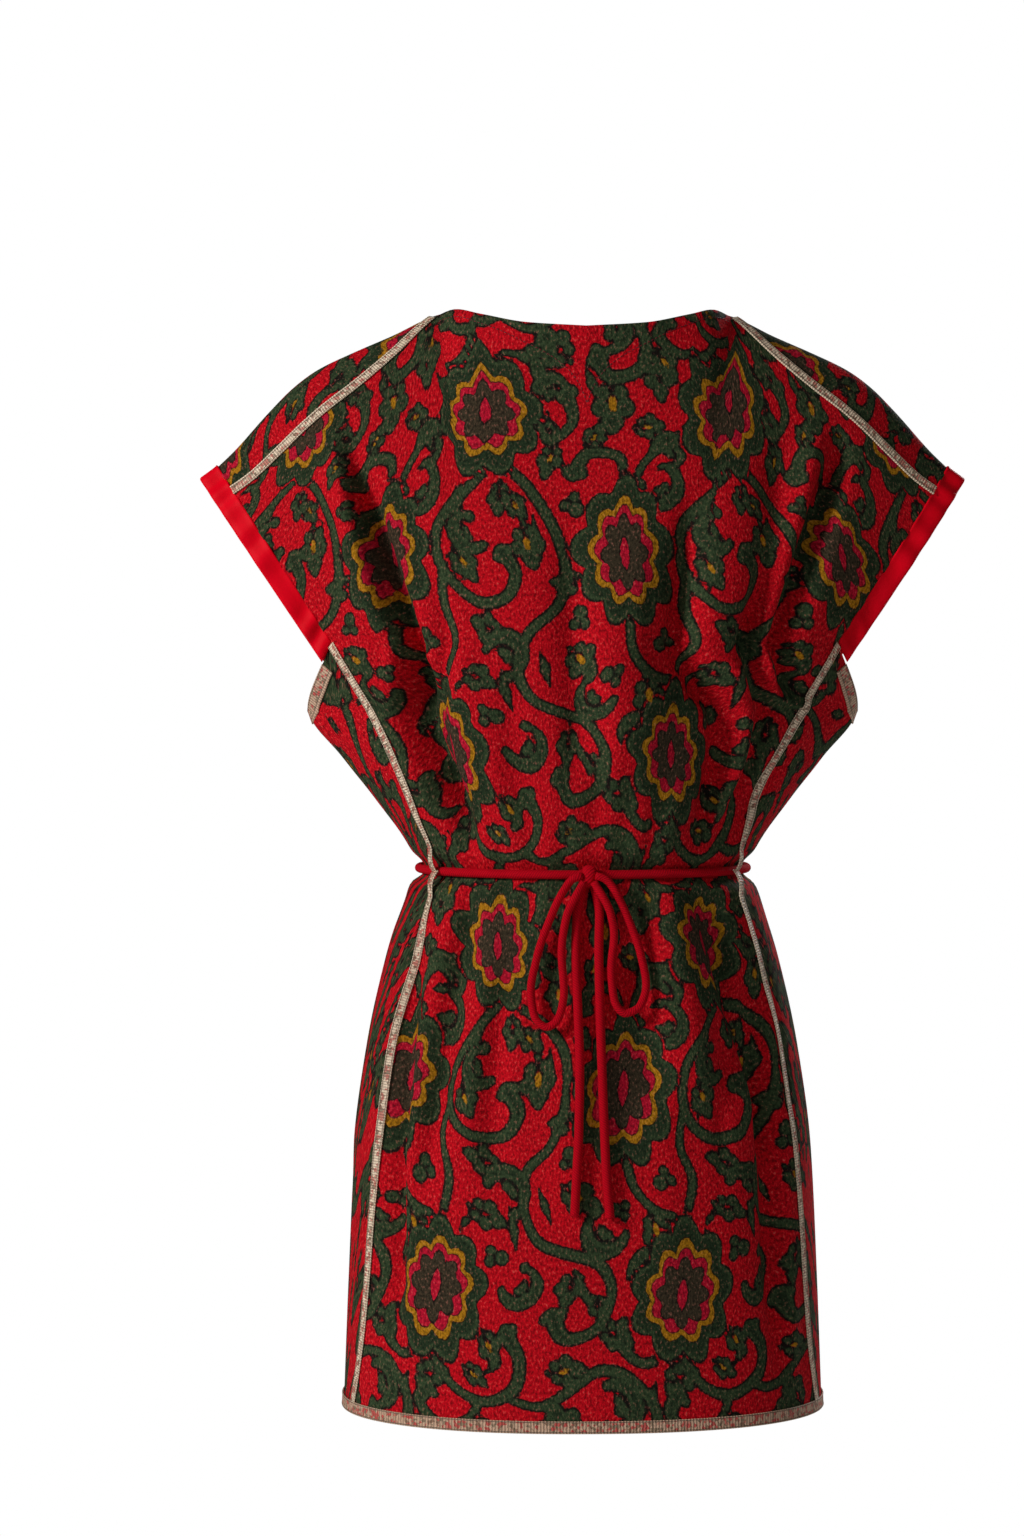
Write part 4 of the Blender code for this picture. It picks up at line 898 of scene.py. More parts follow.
def panel(name, points, uv, present=None):
    """A sheet of cloth through a grid of points, with its print and its own map in metres."""
    rows, columns = points.shape[:2]
    grid = bmesh.new()
    bmesh.ops.create_grid(grid, x_segments=columns - 1, y_segments=rows - 1, size=1)
    mesh = bpy.data.meshes.new(name)
    grid.to_mesh(mesh)
    grid.free()
    flat = np.empty(len(mesh.vertices) * 3)
    mesh.vertices.foreach_get("co", flat)
    flat = flat.reshape(-1, 3)
    col = np.rint((flat[:, 0] + 1) / 2 * (columns - 1)).astype(int)
    row = np.rint((flat[:, 1] + 1) / 2 * (rows - 1)).astype(int)
    mesh.vertices.foreach_set("co", points[row, col].ravel())
    corner = np.empty(len(mesh.loops), int)
    mesh.loops.foreach_get("vertex_index", corner)
    across, down = uv[0][row, col], uv[1][row, col]
    layer = mesh.uv_layers.new(name="cloth")
    layer.data.foreach_set("uv", np.stack([across[corner], -down[corner]], axis=1).ravel())
    printed(mesh, across, down)
    shape = bmesh.new()
    shape.from_mesh(mesh)
    if present is not None:
        shape.faces.ensure_lookup_table()
        missing = []
        for face in shape.faces:
            places = [vertex.index for vertex in face.verts]
            if not present[row[places].min(), col[places].min()]:
                missing.append(face)
        bmesh.ops.delete(shape, geom=missing, context="FACES")
    for face in shape.faces:
        face.smooth = True
    shape.to_mesh(mesh)
    shape.free()
    mesh.update()
    return placed(name, mesh)


def face_out(piece, outwards):
    """Turns the sheet's faces to the side that the given vector points to at its first face."""
    face = piece.data.polygons[len(piece.data.polygons) // 2]
    if face.normal.dot(outwards) < 0:
        piece.data.flip_normals()


def pulled_in(points, edges):
    """Leaves half a seam's gap at each sewn edge: edge rows or columns, and their neighbours."""
    points = points.copy()
    for edge, inner in edges:
        points[edge] += unit(points[inner] - points[edge]) * HALF_SEAM_GAP
    return points


def neck_turning_run(across):
    """0 along the neck edge and rising to 1 just before the neck points, where the shoulder seam begins."""
    return np.clip(1 - (NECK_SHARE - np.abs(across)) / (NECK_SHARE / 4), 0, 1)


# Front panel's grid
FRONT_NECK_CELLS, FRONT_SHOULDER_CELLS = 72, 60
FRONT_CHEST_CELLS, CELLS_ABOVE_WAIST, CELLS_BELOW_WAIST = 80, 55, 110
CLOTH_SHEET = 0.0012
HALF_SEAM_GAP = 0.00015
# Share of the folds that the print's map follows, and how the gathers squeeze the print at each level
PRINT_FOLD_SHARE = 0.3
PRINT_SQUEEZE = [(0.0, 1.0), (1.6, 0.96), (3.0, 0.80), (3.45, 0.95), (4.0, 1.0)]

front_shares = even_shares(FRONT_NECK_CELLS, FRONT_SHOULDER_CELLS)
neck_run = neck_turning_run(front_shares)
front_top = np.where(np.abs(front_shares) < NECK_SHARE - 1e-9, SHOULDER_SEAM[0] * neck_run,
                     shoulder_seam_level(front_shares))
front_chest = front_top + (UNDERARM - front_top) * np.linspace(0, 1, FRONT_CHEST_CELLS + 1)[:, None]
front_skirt = skirt_levels(UNDERARM, CELLS_ABOVE_WAIST, CELLS_BELOW_WAIST)[1:]
front_levels = np.vstack([front_chest, np.repeat(front_skirt[:, None], len(front_shares), axis=1)])
front_across = np.vstack([np.broadcast_to(front_shares, front_chest.shape),
                          front_shares * seam_share(front_skirt)[:, None]])
front_points = surface_point(FRONT, front_across, front_levels)
squeeze_levels, squeezes = zip(*PRINT_SQUEEZE)
front_map = cloth_run(eased_folds(FRONT, front_across, front_levels), len(front_shares) // 2,
                      FRONT_CHEST_CELLS, np.interp(front_levels, squeeze_levels, squeezes))
front_sewn = pulled_in(front_points, [((slice(None), 0), (slice(None), 1)),
                                      ((slice(None), -1), (slice(None), -2))])
front_panel = panel("front_panel_cloth", front_sewn, front_map)
face_out(front_panel, (0, -1, 0))


def cloth_map(tree):
    """The piece's own map, in metres."""
    return add_node(tree, "UVMap", uv_map="cloth").outputs["UV"]


def calc(tree, operation, *values):
    return add_node(tree, "Math", dict(enumerate(values)), operation=operation).outputs["Value"]


def remap(tree, value, low, high, to_low=0.0, to_high=1.0):
    return add_node(tree, "MapRange", {"Value": value, "From Min": low, "From Max": high, "To Min": to_low,
                                       "To Max": to_high}).outputs["Result"]


def mix_colours(tree, first, second, share, blend="MIX"):
    return add_node(tree, "Mix", {"A": first, "B": second, "Factor": share}, data_type="RGBA",
                    blend_type=blend).outputs["Result"]


def bumped(tree, height, strength, distance):
    return add_node(tree, "Bump", {"Strength": strength, "Distance": distance,
                                   "Height": height}).outputs["Normal"]


def crepe_group():
    """Pebbled crepe: fine uneven bumps, painted highlights as pale flecks on the pebbles' tops, and painted
    light and shade that follows the pebbles' height.
    """
    group = bpy.data.node_groups.new("crepe", "ShaderNodeTree")
    for name, kind, default in (("Colour", "NodeSocketColor", (0.5, 0, 0, 1)),
                                ("Pebble", "NodeSocketFloat", 900.0), ("Flecks", "NodeSocketFloat", 0.5)):
        socket = group.interface.new_socket(name=name, in_out="INPUT", socket_type=kind)
        socket.default_value = default
    group.interface.new_socket(name="Colour", in_out="OUTPUT", socket_type="NodeSocketColor")
    group.interface.new_socket(name="Height", in_out="OUTPUT", socket_type="NodeSocketFloat")
    given = group.nodes.new("NodeGroupInput")
    put_out = group.nodes.new("NodeGroupOutput")
    stretched = add_node(group, "Mapping", {"Scale": (1.0, 0.62, 1.0), "Vector": cloth_map(group)})
    pebble = add_node(group, "TexNoise", {"Detail": 2.5, "Roughness": 0.62, "Scale": given.outputs["Pebble"],
                                          "Vector": stretched.outputs["Vector"]}).outputs["Fac"]
    # Pale flecks on the highest pebbles: painted highlights where light catches the tops of the grain.
    pebble_highlight = calc(group, "MULTIPLY", remap(group, pebble, 0.58, 0.74), given.outputs["Flecks"])
    paler = mix_colours(group, given.outputs["Colour"], (0.66, 0.20, 0.15, 1), pebble_highlight)
    # Darker in the pebbles' hollows and lighter on their tops: painted shade and light, from the same height
    # as the bump.
    shade = remap(group, pebble, 0.34, 0.58, 0.38, 1.18)
    feed(group, put_out, {"Colour": mix_colours(group, paler, shade, 1.0, "MULTIPLY"), "Height": pebble})
    return group


crepe = crepe_group()

GROUND_RED = (0.60, 0.002, 0.010, 1)
VINE_GREEN = (0.030, 0.052, 0.022, 1)
VINE_LIGHT = (0.042, 0.068, 0.028, 1)
VINE_DEEP = (0.021, 0.038, 0.016, 1)
OUTLINE = (0.012, 0.008, 0.006, 1)
OCHRE = (0.42, 0.18, 0.006, 1)
ROSE_RED = (0.52, 0.006, 0.028, 1)
BLOOM_BROWN = (0.050, 0.036, 0.020, 1)
# How far the print's edges waver in the weave: each stored field, in its own unit
EDGE_WAVER = {"vine": 0.0005, "ring": 0.012, "bloom": 0.012, "core": 0.10, "dot": 0.0006}
# Inks in the order they are laid: colour, stored field, the values it covers, and the softness of its edge
INKS = [
    (VINE_GREEN, "vine", -1, 0, 0.0003),
    (VINE_DEEP, "vine", -1, -0.0044, 0.0010),
    (VINE_LIGHT, "vine", -0.0036, -0.0020, 0.0007),
    (OUTLINE, "vine", -0.0011, 0.0003, 0.0004),
    (OCHRE, "dot", -1, 0, 0.0004),
    (OCHRE, "ring", -1, 0.70, 0.008),
    (OUTLINE, "ring", 0.69, 0.708, 0.008),
    (ROSE_RED, "ring", -1, 0.585, 0.008),
    (OUTLINE, "ring", 0.570, 0.587, 0.008),
    (BLOOM_BROWN, "bloom", -1, 0.45, 0.010),
    (OUTLINE, "bloom", 0.436, 0.460, 0.010),
    (ROSE_RED, "core", -2, 0.80, 0.06),
    (OUTLINE, "core", 0.80, 1.00, 0.06),
]


def printed_crepe(name, paleness):
    """The dyed and printed crepe. The wrong side is the same print, paler."""
    made, tree, shader = new_material(name)
    waver = add_node(tree, "TexNoise", {"Scale": 320, "Detail": 3, "Vector": cloth_map(tree)})
    jitter = remap(tree, waver.outputs["Fac"], 0.3, 0.7, -1, 1)
    fields = {}
    for attribute, amount in EDGE_WAVER.items():
        stored = add_node(tree, "Attribute", attribute_name=attribute).outputs["Fac"]
        fields[attribute] = calc(tree, "MULTIPLY_ADD", jitter, amount, stored)
    colour = GROUND_RED
    for ink, attribute, low, high, soft in INKS:
        middle, half = (low + high) / 2, (high - low) / 2
        away = calc(tree, "ABSOLUTE", calc(tree, "SUBTRACT", fields[attribute], middle))
        colour = mix_colours(tree, colour, ink, remap(tree, away, half - soft, half + soft, 1, 0))
    # Weave of the crepe, with painted highlights on its pebbles and painted shade in their hollows.
    weave = add_node(tree, "Group", {"Colour": colour, "Pebble": 540, "Flecks": 0.40}, node_tree=crepe)
    faded = mix_colours(tree, weave.outputs["Colour"], (0.42, 0.10, 0.09, 1), paleness)
    feed(tree, shader, {"Roughness": 0.86, "Specular IOR Level": 0.10, "Base Color": faded,
                        "Normal": bumped(tree, weave.outputs["Height"], 0.9, 0.0012)})
    return made


right_side = printed_crepe("printed_crepe_face", 0.0)
wrong_side = printed_crepe("printed_crepe_back", 0.35)


def give_thickness(piece, thickness):
    """The sheet's wall lies on the inner side, in the paler wrong side's colours."""
    piece.data.materials.append(right_side)
    piece.data.materials.append(wrong_side)
    wall = piece.modifiers.new("thickness", "SOLIDIFY")
    wall.thickness = thickness
    wall.offset = -1
    wall.material_offset = 1
    wall.material_offset_rim = 0


give_thickness(front_panel, CLOTH_SHEET)
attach(front_panel, "root")
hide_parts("front_panel")

# Back panel
# The same crepe: it comes over both shoulders and round both sides to the seams under the braid.
BACK_NECK_CELLS, BACK_SHOULDER_CELLS, SIDE_CELLS = 60, 50, 16
OVER_SHOULDER_CELLS, BACK_CHEST_CELLS, RIBBON_CELLS = 10, 76, 16
BACK_PRINT_SHIFT = (0.06, -0.05)

back_shares = even_shares(BACK_NECK_CELLS, BACK_SHOULDER_CELLS)
over_shoulder = np.linspace(1, 0, OVER_SHOULDER_CELLS + 1)[:-1, None] * -shoulder_seam_level(back_shares)
back_low = skirt_levels(RIBBON_TIP, CELLS_ABOVE_WAIST, CELLS_BELOW_WAIST)
back_rest = np.concatenate([np.linspace(0, UNDERARM, BACK_CHEST_CELLS + 1),
                            np.linspace(UNDERARM, RIBBON_TIP, RIBBON_CELLS + 1)[1:], back_low[1:]])
back_levels = np.vstack([over_shoulder, np.repeat(back_rest[:, None], len(back_shares), axis=1)])
back_across = np.broadcast_to(back_shares, back_levels.shape)
tip_row = OVER_SHOULDER_CELLS + BACK_CHEST_CELLS + RIBBON_CELLS
seam_line_levels = skirt_levels(UNDERARM, CELLS_ABOVE_WAIST, CELLS_BELOW_WAIST)
round_side = np.linspace(0, 1, SIDE_CELLS + 1)[1:]
strip_across = 1 + (1 - seam_share(seam_line_levels)[:, None]) * round_side
strip_levels = back_low[:, None] + (seam_line_levels - back_low)[:, None] * round_side
above_tip = np.ones((tip_row, SIDE_CELLS))
strip_across = np.vstack([above_tip, strip_across])
strip_levels = np.vstack([above_tip * 1.5, strip_levels])
back_across = np.hstack([-strip_across[:, ::-1], back_across, strip_across])
back_levels = np.hstack([strip_levels[:, ::-1], back_levels, strip_levels])
on_strip = np.zeros(back_across.shape, bool)
on_strip[:, :SIDE_CELLS] = True
on_strip[:, -SIDE_CELLS:] = True
strip_side = np.where(back_across < 0, -1.0, 1.0)
back_places = (np.where(on_strip, FRONT, BACK),
               np.where(on_strip, strip_side * (2 - np.abs(back_across)), back_across), back_levels)
back_points = surface_point(*back_places)
back_map = cloth_run(eased_folds(*back_places), back_points.shape[1] // 2, OVER_SHOULDER_CELLS,
                     np.interp(back_levels, squeeze_levels, squeezes))
back_present = np.ones((back_points.shape[0] - 1, back_points.shape[1] - 1), bool)
back_present[:tip_row, :SIDE_CELLS] = False
back_present[:tip_row, -SIDE_CELLS:] = False
first_neck_cell = SIDE_CELLS + BACK_SHOULDER_CELLS
back_present[:OVER_SHOULDER_CELLS, first_neck_cell:first_neck_cell + BACK_NECK_CELLS] = False
back_sewn = pulled_in(back_points, [((slice(tip_row, None), 0), (slice(tip_row, None), 1)),
                                    ((slice(tip_row, None), -1), (slice(tip_row, None), -2))])
back_print = (back_map[0] + BACK_PRINT_SHIFT[0], back_map[1] + BACK_PRINT_SHIFT[1])
back_panel = panel("back_panel_cloth", back_sewn, back_print, back_present)
face_out(back_panel, (0, 1, 0))
give_thickness(back_panel, CLOTH_SHEET)
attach(back_panel, "root")
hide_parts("back_panel")

# Braid on the shoulder and side seams
# Narrow beige woven braid with small red and brown motifs and corded edges, sewn flat over each seam.
BRAID_HALF_WIDTH = 0.0034
SHOULDER_BRAID_HALF_WIDTH = 0.0038
BRAID_THICKNESS = 0.0012
BRAID_LIFT = 0.0006
BRAID_STEPS_ABOVE, BRAID_STEPS_BELOW, SHOULDER_BRAID_STEPS = 110, 190, 130
# Levels by which the side braid stops short of the cuff and the hem
BRAID_END_LEVELS = (0.02, 0.022)
# Across value by which the shoulder braid stops short of the seam's ends
SHOULDER_BRAID_ENDS = 0.004
CORD_RADIUS = 0.0034
CORD_LIFT = 0.0007
# Distance from the cord at which the braid begins to come down off it, and where it is down on the cloth
HUMP_TOP, HUMP_FOOT = 0.0060, 0.0200
# Half of a flat trim's outline, across and up, as shares of its half width and thickness
FLAT_TRIM = [(-1.00, 0.10), (-0.97, 0.70), (-0.86, 1.00), (-0.72, 0.86), (-0.30, 0.80), (0.30, 0.80),
             (0.72, 0.86), (0.86, 1.00), (0.97, 0.70), (1.00, 0.10), (0.90, 0.0), (-0.90, 0.0)]


def swept(name, middles, sides, normals, outline, half_widths, thickness, ring=False):
    """A closed outline carried along a line. Its map runs along the line and round it, in metres."""
    outline = np.array(outline)
    count, corners = len(middles), len(outline)
    half_widths = np.broadcast_to(half_widths, (count,))
    around = np.vstack([outline, outline[:1]])
    wide = around[:, 0] * half_widths[:, None]
    high = np.broadcast_to(around[:, 1] * thickness, wide.shape)
    places = middles[:, None] + sides[:, None] * wide[..., None] + normals[:, None] * high[..., None]
    if ring:
        places = np.concatenate([places, places[:1]])
        wide, high = np.vstack([wide, wide[:1]]), np.vstack([high, high[:1]])
        middles = np.vstack([middles, middles[:1]])
    travelled = travelled_along(middles)
    girth = np.hypot(np.diff(wide, axis=1), np.diff(high, axis=1))
    girth = np.concatenate([np.zeros((len(wide), 1)), np.cumsum(girth, axis=1)], axis=1)

    shape = bmesh.new()
    bmesh.ops.create_grid(shape, x_segments=corners, y_segments=len(places) - 1, size=1)
    where = {}
    for vertex in shape.verts:
        row = round((vertex.co.y + 1) / 2 * (len(places) - 1))
        where[vertex] = (row, round((vertex.co.x + 1) / 2 * corners))
    layer = shape.loops.layers.uv.new("cloth")
    for face in shape.faces:
        face.smooth = True
        for corner in face.loops:
            row, col = where[corner.vert]
            corner[layer].uv = (travelled[row], girth[row, col])
    for vertex, (row, col) in where.items():
        vertex.co = places[row, col]
    bmesh.ops.remove_doubles(shape, verts=shape.verts, dist=1e-7)
    caps = bmesh.ops.holes_fill(shape, edges=[edge for edge in shape.edges if edge.is_boundary])["faces"]
    for cap in caps:
        corner = cap.loops[0]
        if corner.link_loop_radial_next.vert == corner.vert:
            cap.normal_flip()
    if shape.calc_volume(signed=True) < 0:
        bmesh.ops.reverse_faces(shape, faces=shape.faces)
    return mesh_object(name, shape)


def line_frames(points, normals):
    """Run, side and normal vectors along a line on the cloth."""
    run = unit(np.gradient(points, axis=0))
    side = unit(np.cross(run, normals))
    return side, unit(np.cross(side, run))


def surface_normal(sheet, across, level):
    return surface_frame(surface_point, sheet, across, level)[2]


def tape_material(name, base, spots, edge, scale, sheen, middle, field):
    """Woven tape: cross ribs with painted shade between them, motifs in the field down its middle, a dark
    line beside it, pale edges.
    """
    made, tree, shader = new_material(name)
    on_cloth = cloth_map(tree)
    split = add_node(tree, "SeparateXYZ", {"Vector": on_cloth})
    away = calc(tree, "ABSOLUTE", calc(tree, "SUBTRACT", split.outputs["Y"], middle))
    in_field = calc(tree, "LESS_THAN", away, field)
    ribs = add_node(tree, "TexWave", {"Scale": scale, "Distortion": 2.0, "Detail": 1.0, "Detail Scale": 3.0,
                                      "Vector": on_cloth}, wave_type="BANDS", bands_direction="X")
    cells = add_node(tree, "TexVoronoi", {"Scale": 420, "Randomness": 0.75, "Vector": on_cloth})
    picked = add_node(tree, "SeparateColor", {"Color": cells.outputs["Color"]})
    colour = base
    for channel, limit, tint in (("Red", 0.62, spots[0]), ("Green", 0.74, spots[1])):
        mask = remap(tree, picked.outputs[channel], limit, limit + 0.10, 0, 0.85)
        colour = mix_colours(tree, colour, tint, calc(tree, "MULTIPLY", mask, in_field))
    # Darker in the valleys between the ribs and a little lighter on their crests: painted shade and light,
    # from the same wave as the bump.
    rib_shade = remap(tree, ribs.outputs["Fac"], 0, 1, 0.55, 1.05)
    colour = mix_colours(tree, colour, rib_shade, 1.0, "MULTIPLY")
    from_line = calc(tree, "ABSOLUTE", calc(tree, "SUBTRACT", away, field))
    near_line = remap(tree, from_line, EDGE_LINE_ENDS, EDGE_LINE_FULL, 0, 0.85)
    feed(tree, shader, {"Roughness": 0.55, "Sheen Weight": sheen,
                        "Base Color": mix_colours(tree, colour, edge, near_line),
                        "Normal": bumped(tree, ribs.outputs["Fac"], 0.8, 0.0005)})
    return made


# Dark line beside the field: distances from it where it is gone and where it is full
EDGE_LINE_ENDS, EDGE_LINE_FULL = 0.00055, 0.00020
# Distance round the tape's outline to its middle, and half the width of the field of motifs
BRAID_MIDDLE, BRAID_FIELD = 0.0043, 0.0024
BRAID_BASE = (1.00, 0.78, 0.56, 1)
BRAID_SPOTS = ((0.62, 0.14, 0.10, 1), (0.26, 0.16, 0.09, 1))
BRAID_LINE = (0.16, 0.09, 0.05, 1)
braid_weave = tape_material("woven_braid_yarn", BRAID_BASE, BRAID_SPOTS, BRAID_LINE, 150, 0.0, BRAID_MIDDLE,
                            BRAID_FIELD)

for side, name in ((-1, "left"), (1, "right")):
    levels = np.concatenate([np.linspace(UNDERARM + BRAID_END_LEVELS[0], WAIST, BRAID_STEPS_ABOVE),
                             np.linspace(WAIST, HEM - BRAID_END_LEVELS[1], BRAID_STEPS_BELOW)[1:]])
    across = side * seam_share(levels)
    seam = surface_point(FRONT, across, levels)
    normals = surface_normal(FRONT, across, levels)
    from_cord = np.abs(level_height(levels) - WAIST_HEIGHT)
    hump = 2 * CORD_RADIUS + CORD_LIFT + BRAID_LIFT
    on_cord = 1 - fade((from_cord - HUMP_TOP) / (HUMP_FOOT - HUMP_TOP))
    lift = BRAID_LIFT + (hump - BRAID_LIFT) * on_cord
    sides, normals = line_frames(seam, normals)
    braid = swept(f"side_braid_{name}_tape", seam + normals * lift[:, None], sides, normals, FLAT_TRIM,
                  BRAID_HALF_WIDTH, BRAID_THICKNESS)
    braid.data.materials.append(braid_weave)
    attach(braid, "root")
    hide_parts(f"side_braid_{name}")

    across = side * np.linspace(NECK_SHARE + SHOULDER_BRAID_ENDS, 1 - SHOULDER_BRAID_ENDS,
                                SHOULDER_BRAID_STEPS)
    levels = shoulder_seam_level(across)
    seam = surface_point(FRONT, across, levels)
    sides, normals = line_frames(seam, surface_normal(FRONT, across, levels))
    braid = swept(f"shoulder_braid_{name}_tape", seam + normals * BRAID_LIFT, sides, normals, FLAT_TRIM,
                  SHOULDER_BRAID_HALF_WIDTH, BRAID_THICKNESS)
    braid.data.materials.append(braid_weave)
    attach(braid, "root")
    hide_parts(f"shoulder_braid_{name}")

# Cuffs
# A folded band of bright red satin on each sleeve opening, slightly puckered where it is sewn to the crepe.
CUFF_TOP = (0.2945, -0.1295)
CUFF_END = (0.2005, -0.2690)
CUFF_LAP = 0.0014
# Outline across the band as a share of its width, and up in metres
CUFF_OUTLINE = [(0.0, 0.0), (0.04, 0.0010), (0.10, 0.0006), (0.35, 0.0005), (0.65, 0.0006), (0.90, 0.0007),
                (0.97, 0.0002), (1.0, -0.0010), (0.97, -0.0020), (0.90, -0.0024), (0.50, -0.0022),
                (0.06, -0.0021)]
CUFF_FRONT_STEPS, CUFF_OVER_STEPS, CUFF_BACK_STEPS = 89, 13, 100
PUCKER_HEIGHT = 0.0010

satin, tree, shader = new_material("red_satin_cloth")
on_cloth = cloth_map(tree)
threads = add_node(tree, "Mapping", {"Scale": (2.2, 0.4, 1.0), "Vector": on_cloth})
grain = add_node(tree, "TexNoise", {"Scale": 900, "Detail": 2, "Vector": threads.outputs["Vector"]})
clouds = add_node(tree, "TexNoise", {"Scale": 60, "Vector": on_cloth})
tone = mix_colours(tree, (0.66, 0.0, 0.006, 1), (0.96, 0.0, 0.016, 1), clouds.outputs["Fac"])
feed(tree, shader, {"Roughness": 0.50, "Specular IOR Level": 0.05, "Base Color": tone,
                    "Normal": bumped(tree, grain.outputs["Fac"], 0.35, 0.0003)})

for side, name in ((-1, "left"), (1, "right")):
    seam_end = SHOULDER_SEAM[1]
    levels = np.concatenate([np.linspace(UNDERARM, seam_end, CUFF_FRONT_STEPS + 1)[:-1],
                             np.linspace(seam_end, 0, CUFF_OVER_STEPS + 1)[:-1],
                             np.linspace(0, UNDERARM, CUFF_BACK_STEPS)])
    sheets = np.repeat((FRONT, BACK), (CUFF_FRONT_STEPS + CUFF_OVER_STEPS, CUFF_BACK_STEPS))
    seam = surface_point(sheets, np.full(len(levels), side * 1.0), levels)
    share = (1 + SHOULDER_ROUNDING) * levels ** 2 / (levels + SHOULDER_ROUNDING)
    outer = seam.copy()
    outer[:, 0] = side * (CUFF_TOP[0] + (CUFF_END[0] - CUFF_TOP[0]) * share)
    outer[:, 2] = CUFF_TOP[1] + (CUFF_END[1] - CUFF_TOP[1]) * share
    width = np.linalg.norm(outer - seam, axis=1)
    outwards = unit(outer - seam)
    normals = unit(np.cross(outwards, np.gradient(seam, axis=0))) * side
    travelled = travelled_along(seam)
    ripple = np.sin(travelled * 260 + 2 * np.sin(travelled * 47)) * (1 + 0.6 * np.sin(travelled * 90))
    lift = PUCKER_HEIGHT * ripple
    inner = seam - outwards * CUFF_LAP + normals * lift[:, None]
    cuff = swept(f"cuff_{name}_band", inner, outwards, normals, CUFF_OUTLINE, width, 1.0)
    cuff.data.materials.append(satin)
    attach(cuff, "root")
    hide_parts(f"cuff_{name}")

# Ribbon below each cuff
# Grey-beige woven ribbon that binds the slit from the cuff, round the point under the arm and up the back.
UNDERARM_RIBBON_WIDTH = 0.011
RIBBON_LIFT = 0.0005
# Steps in which the ribbon's inner edge is found on the curved cloth
RIBBON_STEPS = 6
# Levels of the ribbon's run on each sheet down to the tip
RIBBON_RUN = (1.30, 1.94)
RIBBON_RUN_STEPS = 26
RIBBON_THICKNESS = 0.0011
RIBBON_MIDDLE, RIBBON_FIELD = 0.0057, 0.0037
RIBBON_BASE = (0.70, 0.44, 0.29, 1)
RIBBON_SPOTS = ((0.62, 0.03, 0.03, 1), (0.26, 0.18, 0.10, 1))
RIBBON_LINE = (0.10, 0.07, 0.04, 1)

ribbon_weave = tape_material("woven_ribbon_yarn", RIBBON_BASE, RIBBON_SPOTS, RIBBON_LINE, 130, 0.05,
                             RIBBON_MIDDLE, RIBBON_FIELD)

for side, name in ((-1, "left"), (1, "right")):
    half = np.linspace(*RIBBON_RUN, RIBBON_RUN_STEPS)
    levels = np.concatenate([half, [RIBBON_TIP], half[::-1]])
    sheets = np.repeat((FRONT, BACK), (RIBBON_RUN_STEPS + 1, RIBBON_RUN_STEPS))
    across = np.full(len(levels), side * (1 - 1e-6))
    edge = surface_point(sheets, across, levels)
    run = unit(np.gradient(edge, axis=0))
    edge_normals = surface_normal(sheets, across, levels)
    heading = unit(np.cross(run, edge_normals)) * side
    for _ in range(RIBBON_STEPS):
        along, down, normal = surface_frame(surface_point, sheets, across, levels)
        heading = unit(heading - normal * (heading * normal).sum(axis=1, keepdims=True))
        for place in range(len(levels)):
            basis = np.stack([along[place], down[place]], axis=1)
            wanted = heading[place] * UNDERARM_RIBBON_WIDTH / RIBBON_STEPS
            move = np.linalg.lstsq(basis, wanted, rcond=None)[0]
            across[place] += move[0]
            levels[place] += move[1]
    inner = surface_point(sheets, across, levels)
    normals = unit(edge_normals + surface_normal(sheets, across, levels))
    middle = (edge + inner) / 2 + normals * RIBBON_LIFT
    width = np.linalg.norm(inner - edge, axis=1) / 2
    ribbon = swept(f"underarm_ribbon_{name}_tape", middle, unit(inner - edge), normals, FLAT_TRIM, width,
                   RIBBON_THICKNESS)
    ribbon.data.materials.append(ribbon_weave)
    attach(ribbon, "root")
    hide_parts(f"underarm_ribbon_{name}")

# Hem ribbon
# The same ribbon, sewn flat all round the bottom edge.
HEM_RIBBON_WIDTH = 0.0095
HEM_RIBBON_THICKNESS = 0.0012
HEM_STEPS = 720
turns = np.linspace(-2, 2, HEM_STEPS + 1)[:-1]


def round_place(turn):
    """Sheet and across for a turn: 0 is the centre back, 2 and -2 the centre front."""
    side = np.sign(turn) + (turn == 0)
    in_front = np.abs(turn) > 1
    return np.where(in_front, FRONT, BACK), np.where(in_front, side * (2 - np.abs(turn)), turn)


sheets, across = round_place(turns)
hem_level = np.full(len(turns), HEM - (HEM_RIBBON_WIDTH / 2) / (WAIST_HEIGHT - HEM_HEIGHT))
middle = surface_point(sheets, across, hem_level)
sides, normals = line_frames(middle, surface_normal(sheets, across, hem_level))
hem = swept("hem_ribbon_tape", middle + normals * RIBBON_LIFT, sides, normals, FLAT_TRIM,
            HEM_RIBBON_WIDTH / 2, HEM_RIBBON_THICKNESS, ring=True)
hem.data.materials.append(ribbon_weave)
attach(hem, "root")
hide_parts("hem_ribbon")

# Tie cord
# A soft round knitted cord goes round the waist under the side braids and is tied in a bow at the front,
# with two hanging loops and two free tails.
LOOP_RADIUS = 0.0030
TAIL_RADIUS = 0.0034
ROUND = [(math.cos(turn), math.sin(turn)) for turn in np.linspace(0, 2 * math.pi, 18, endpoint=False)]
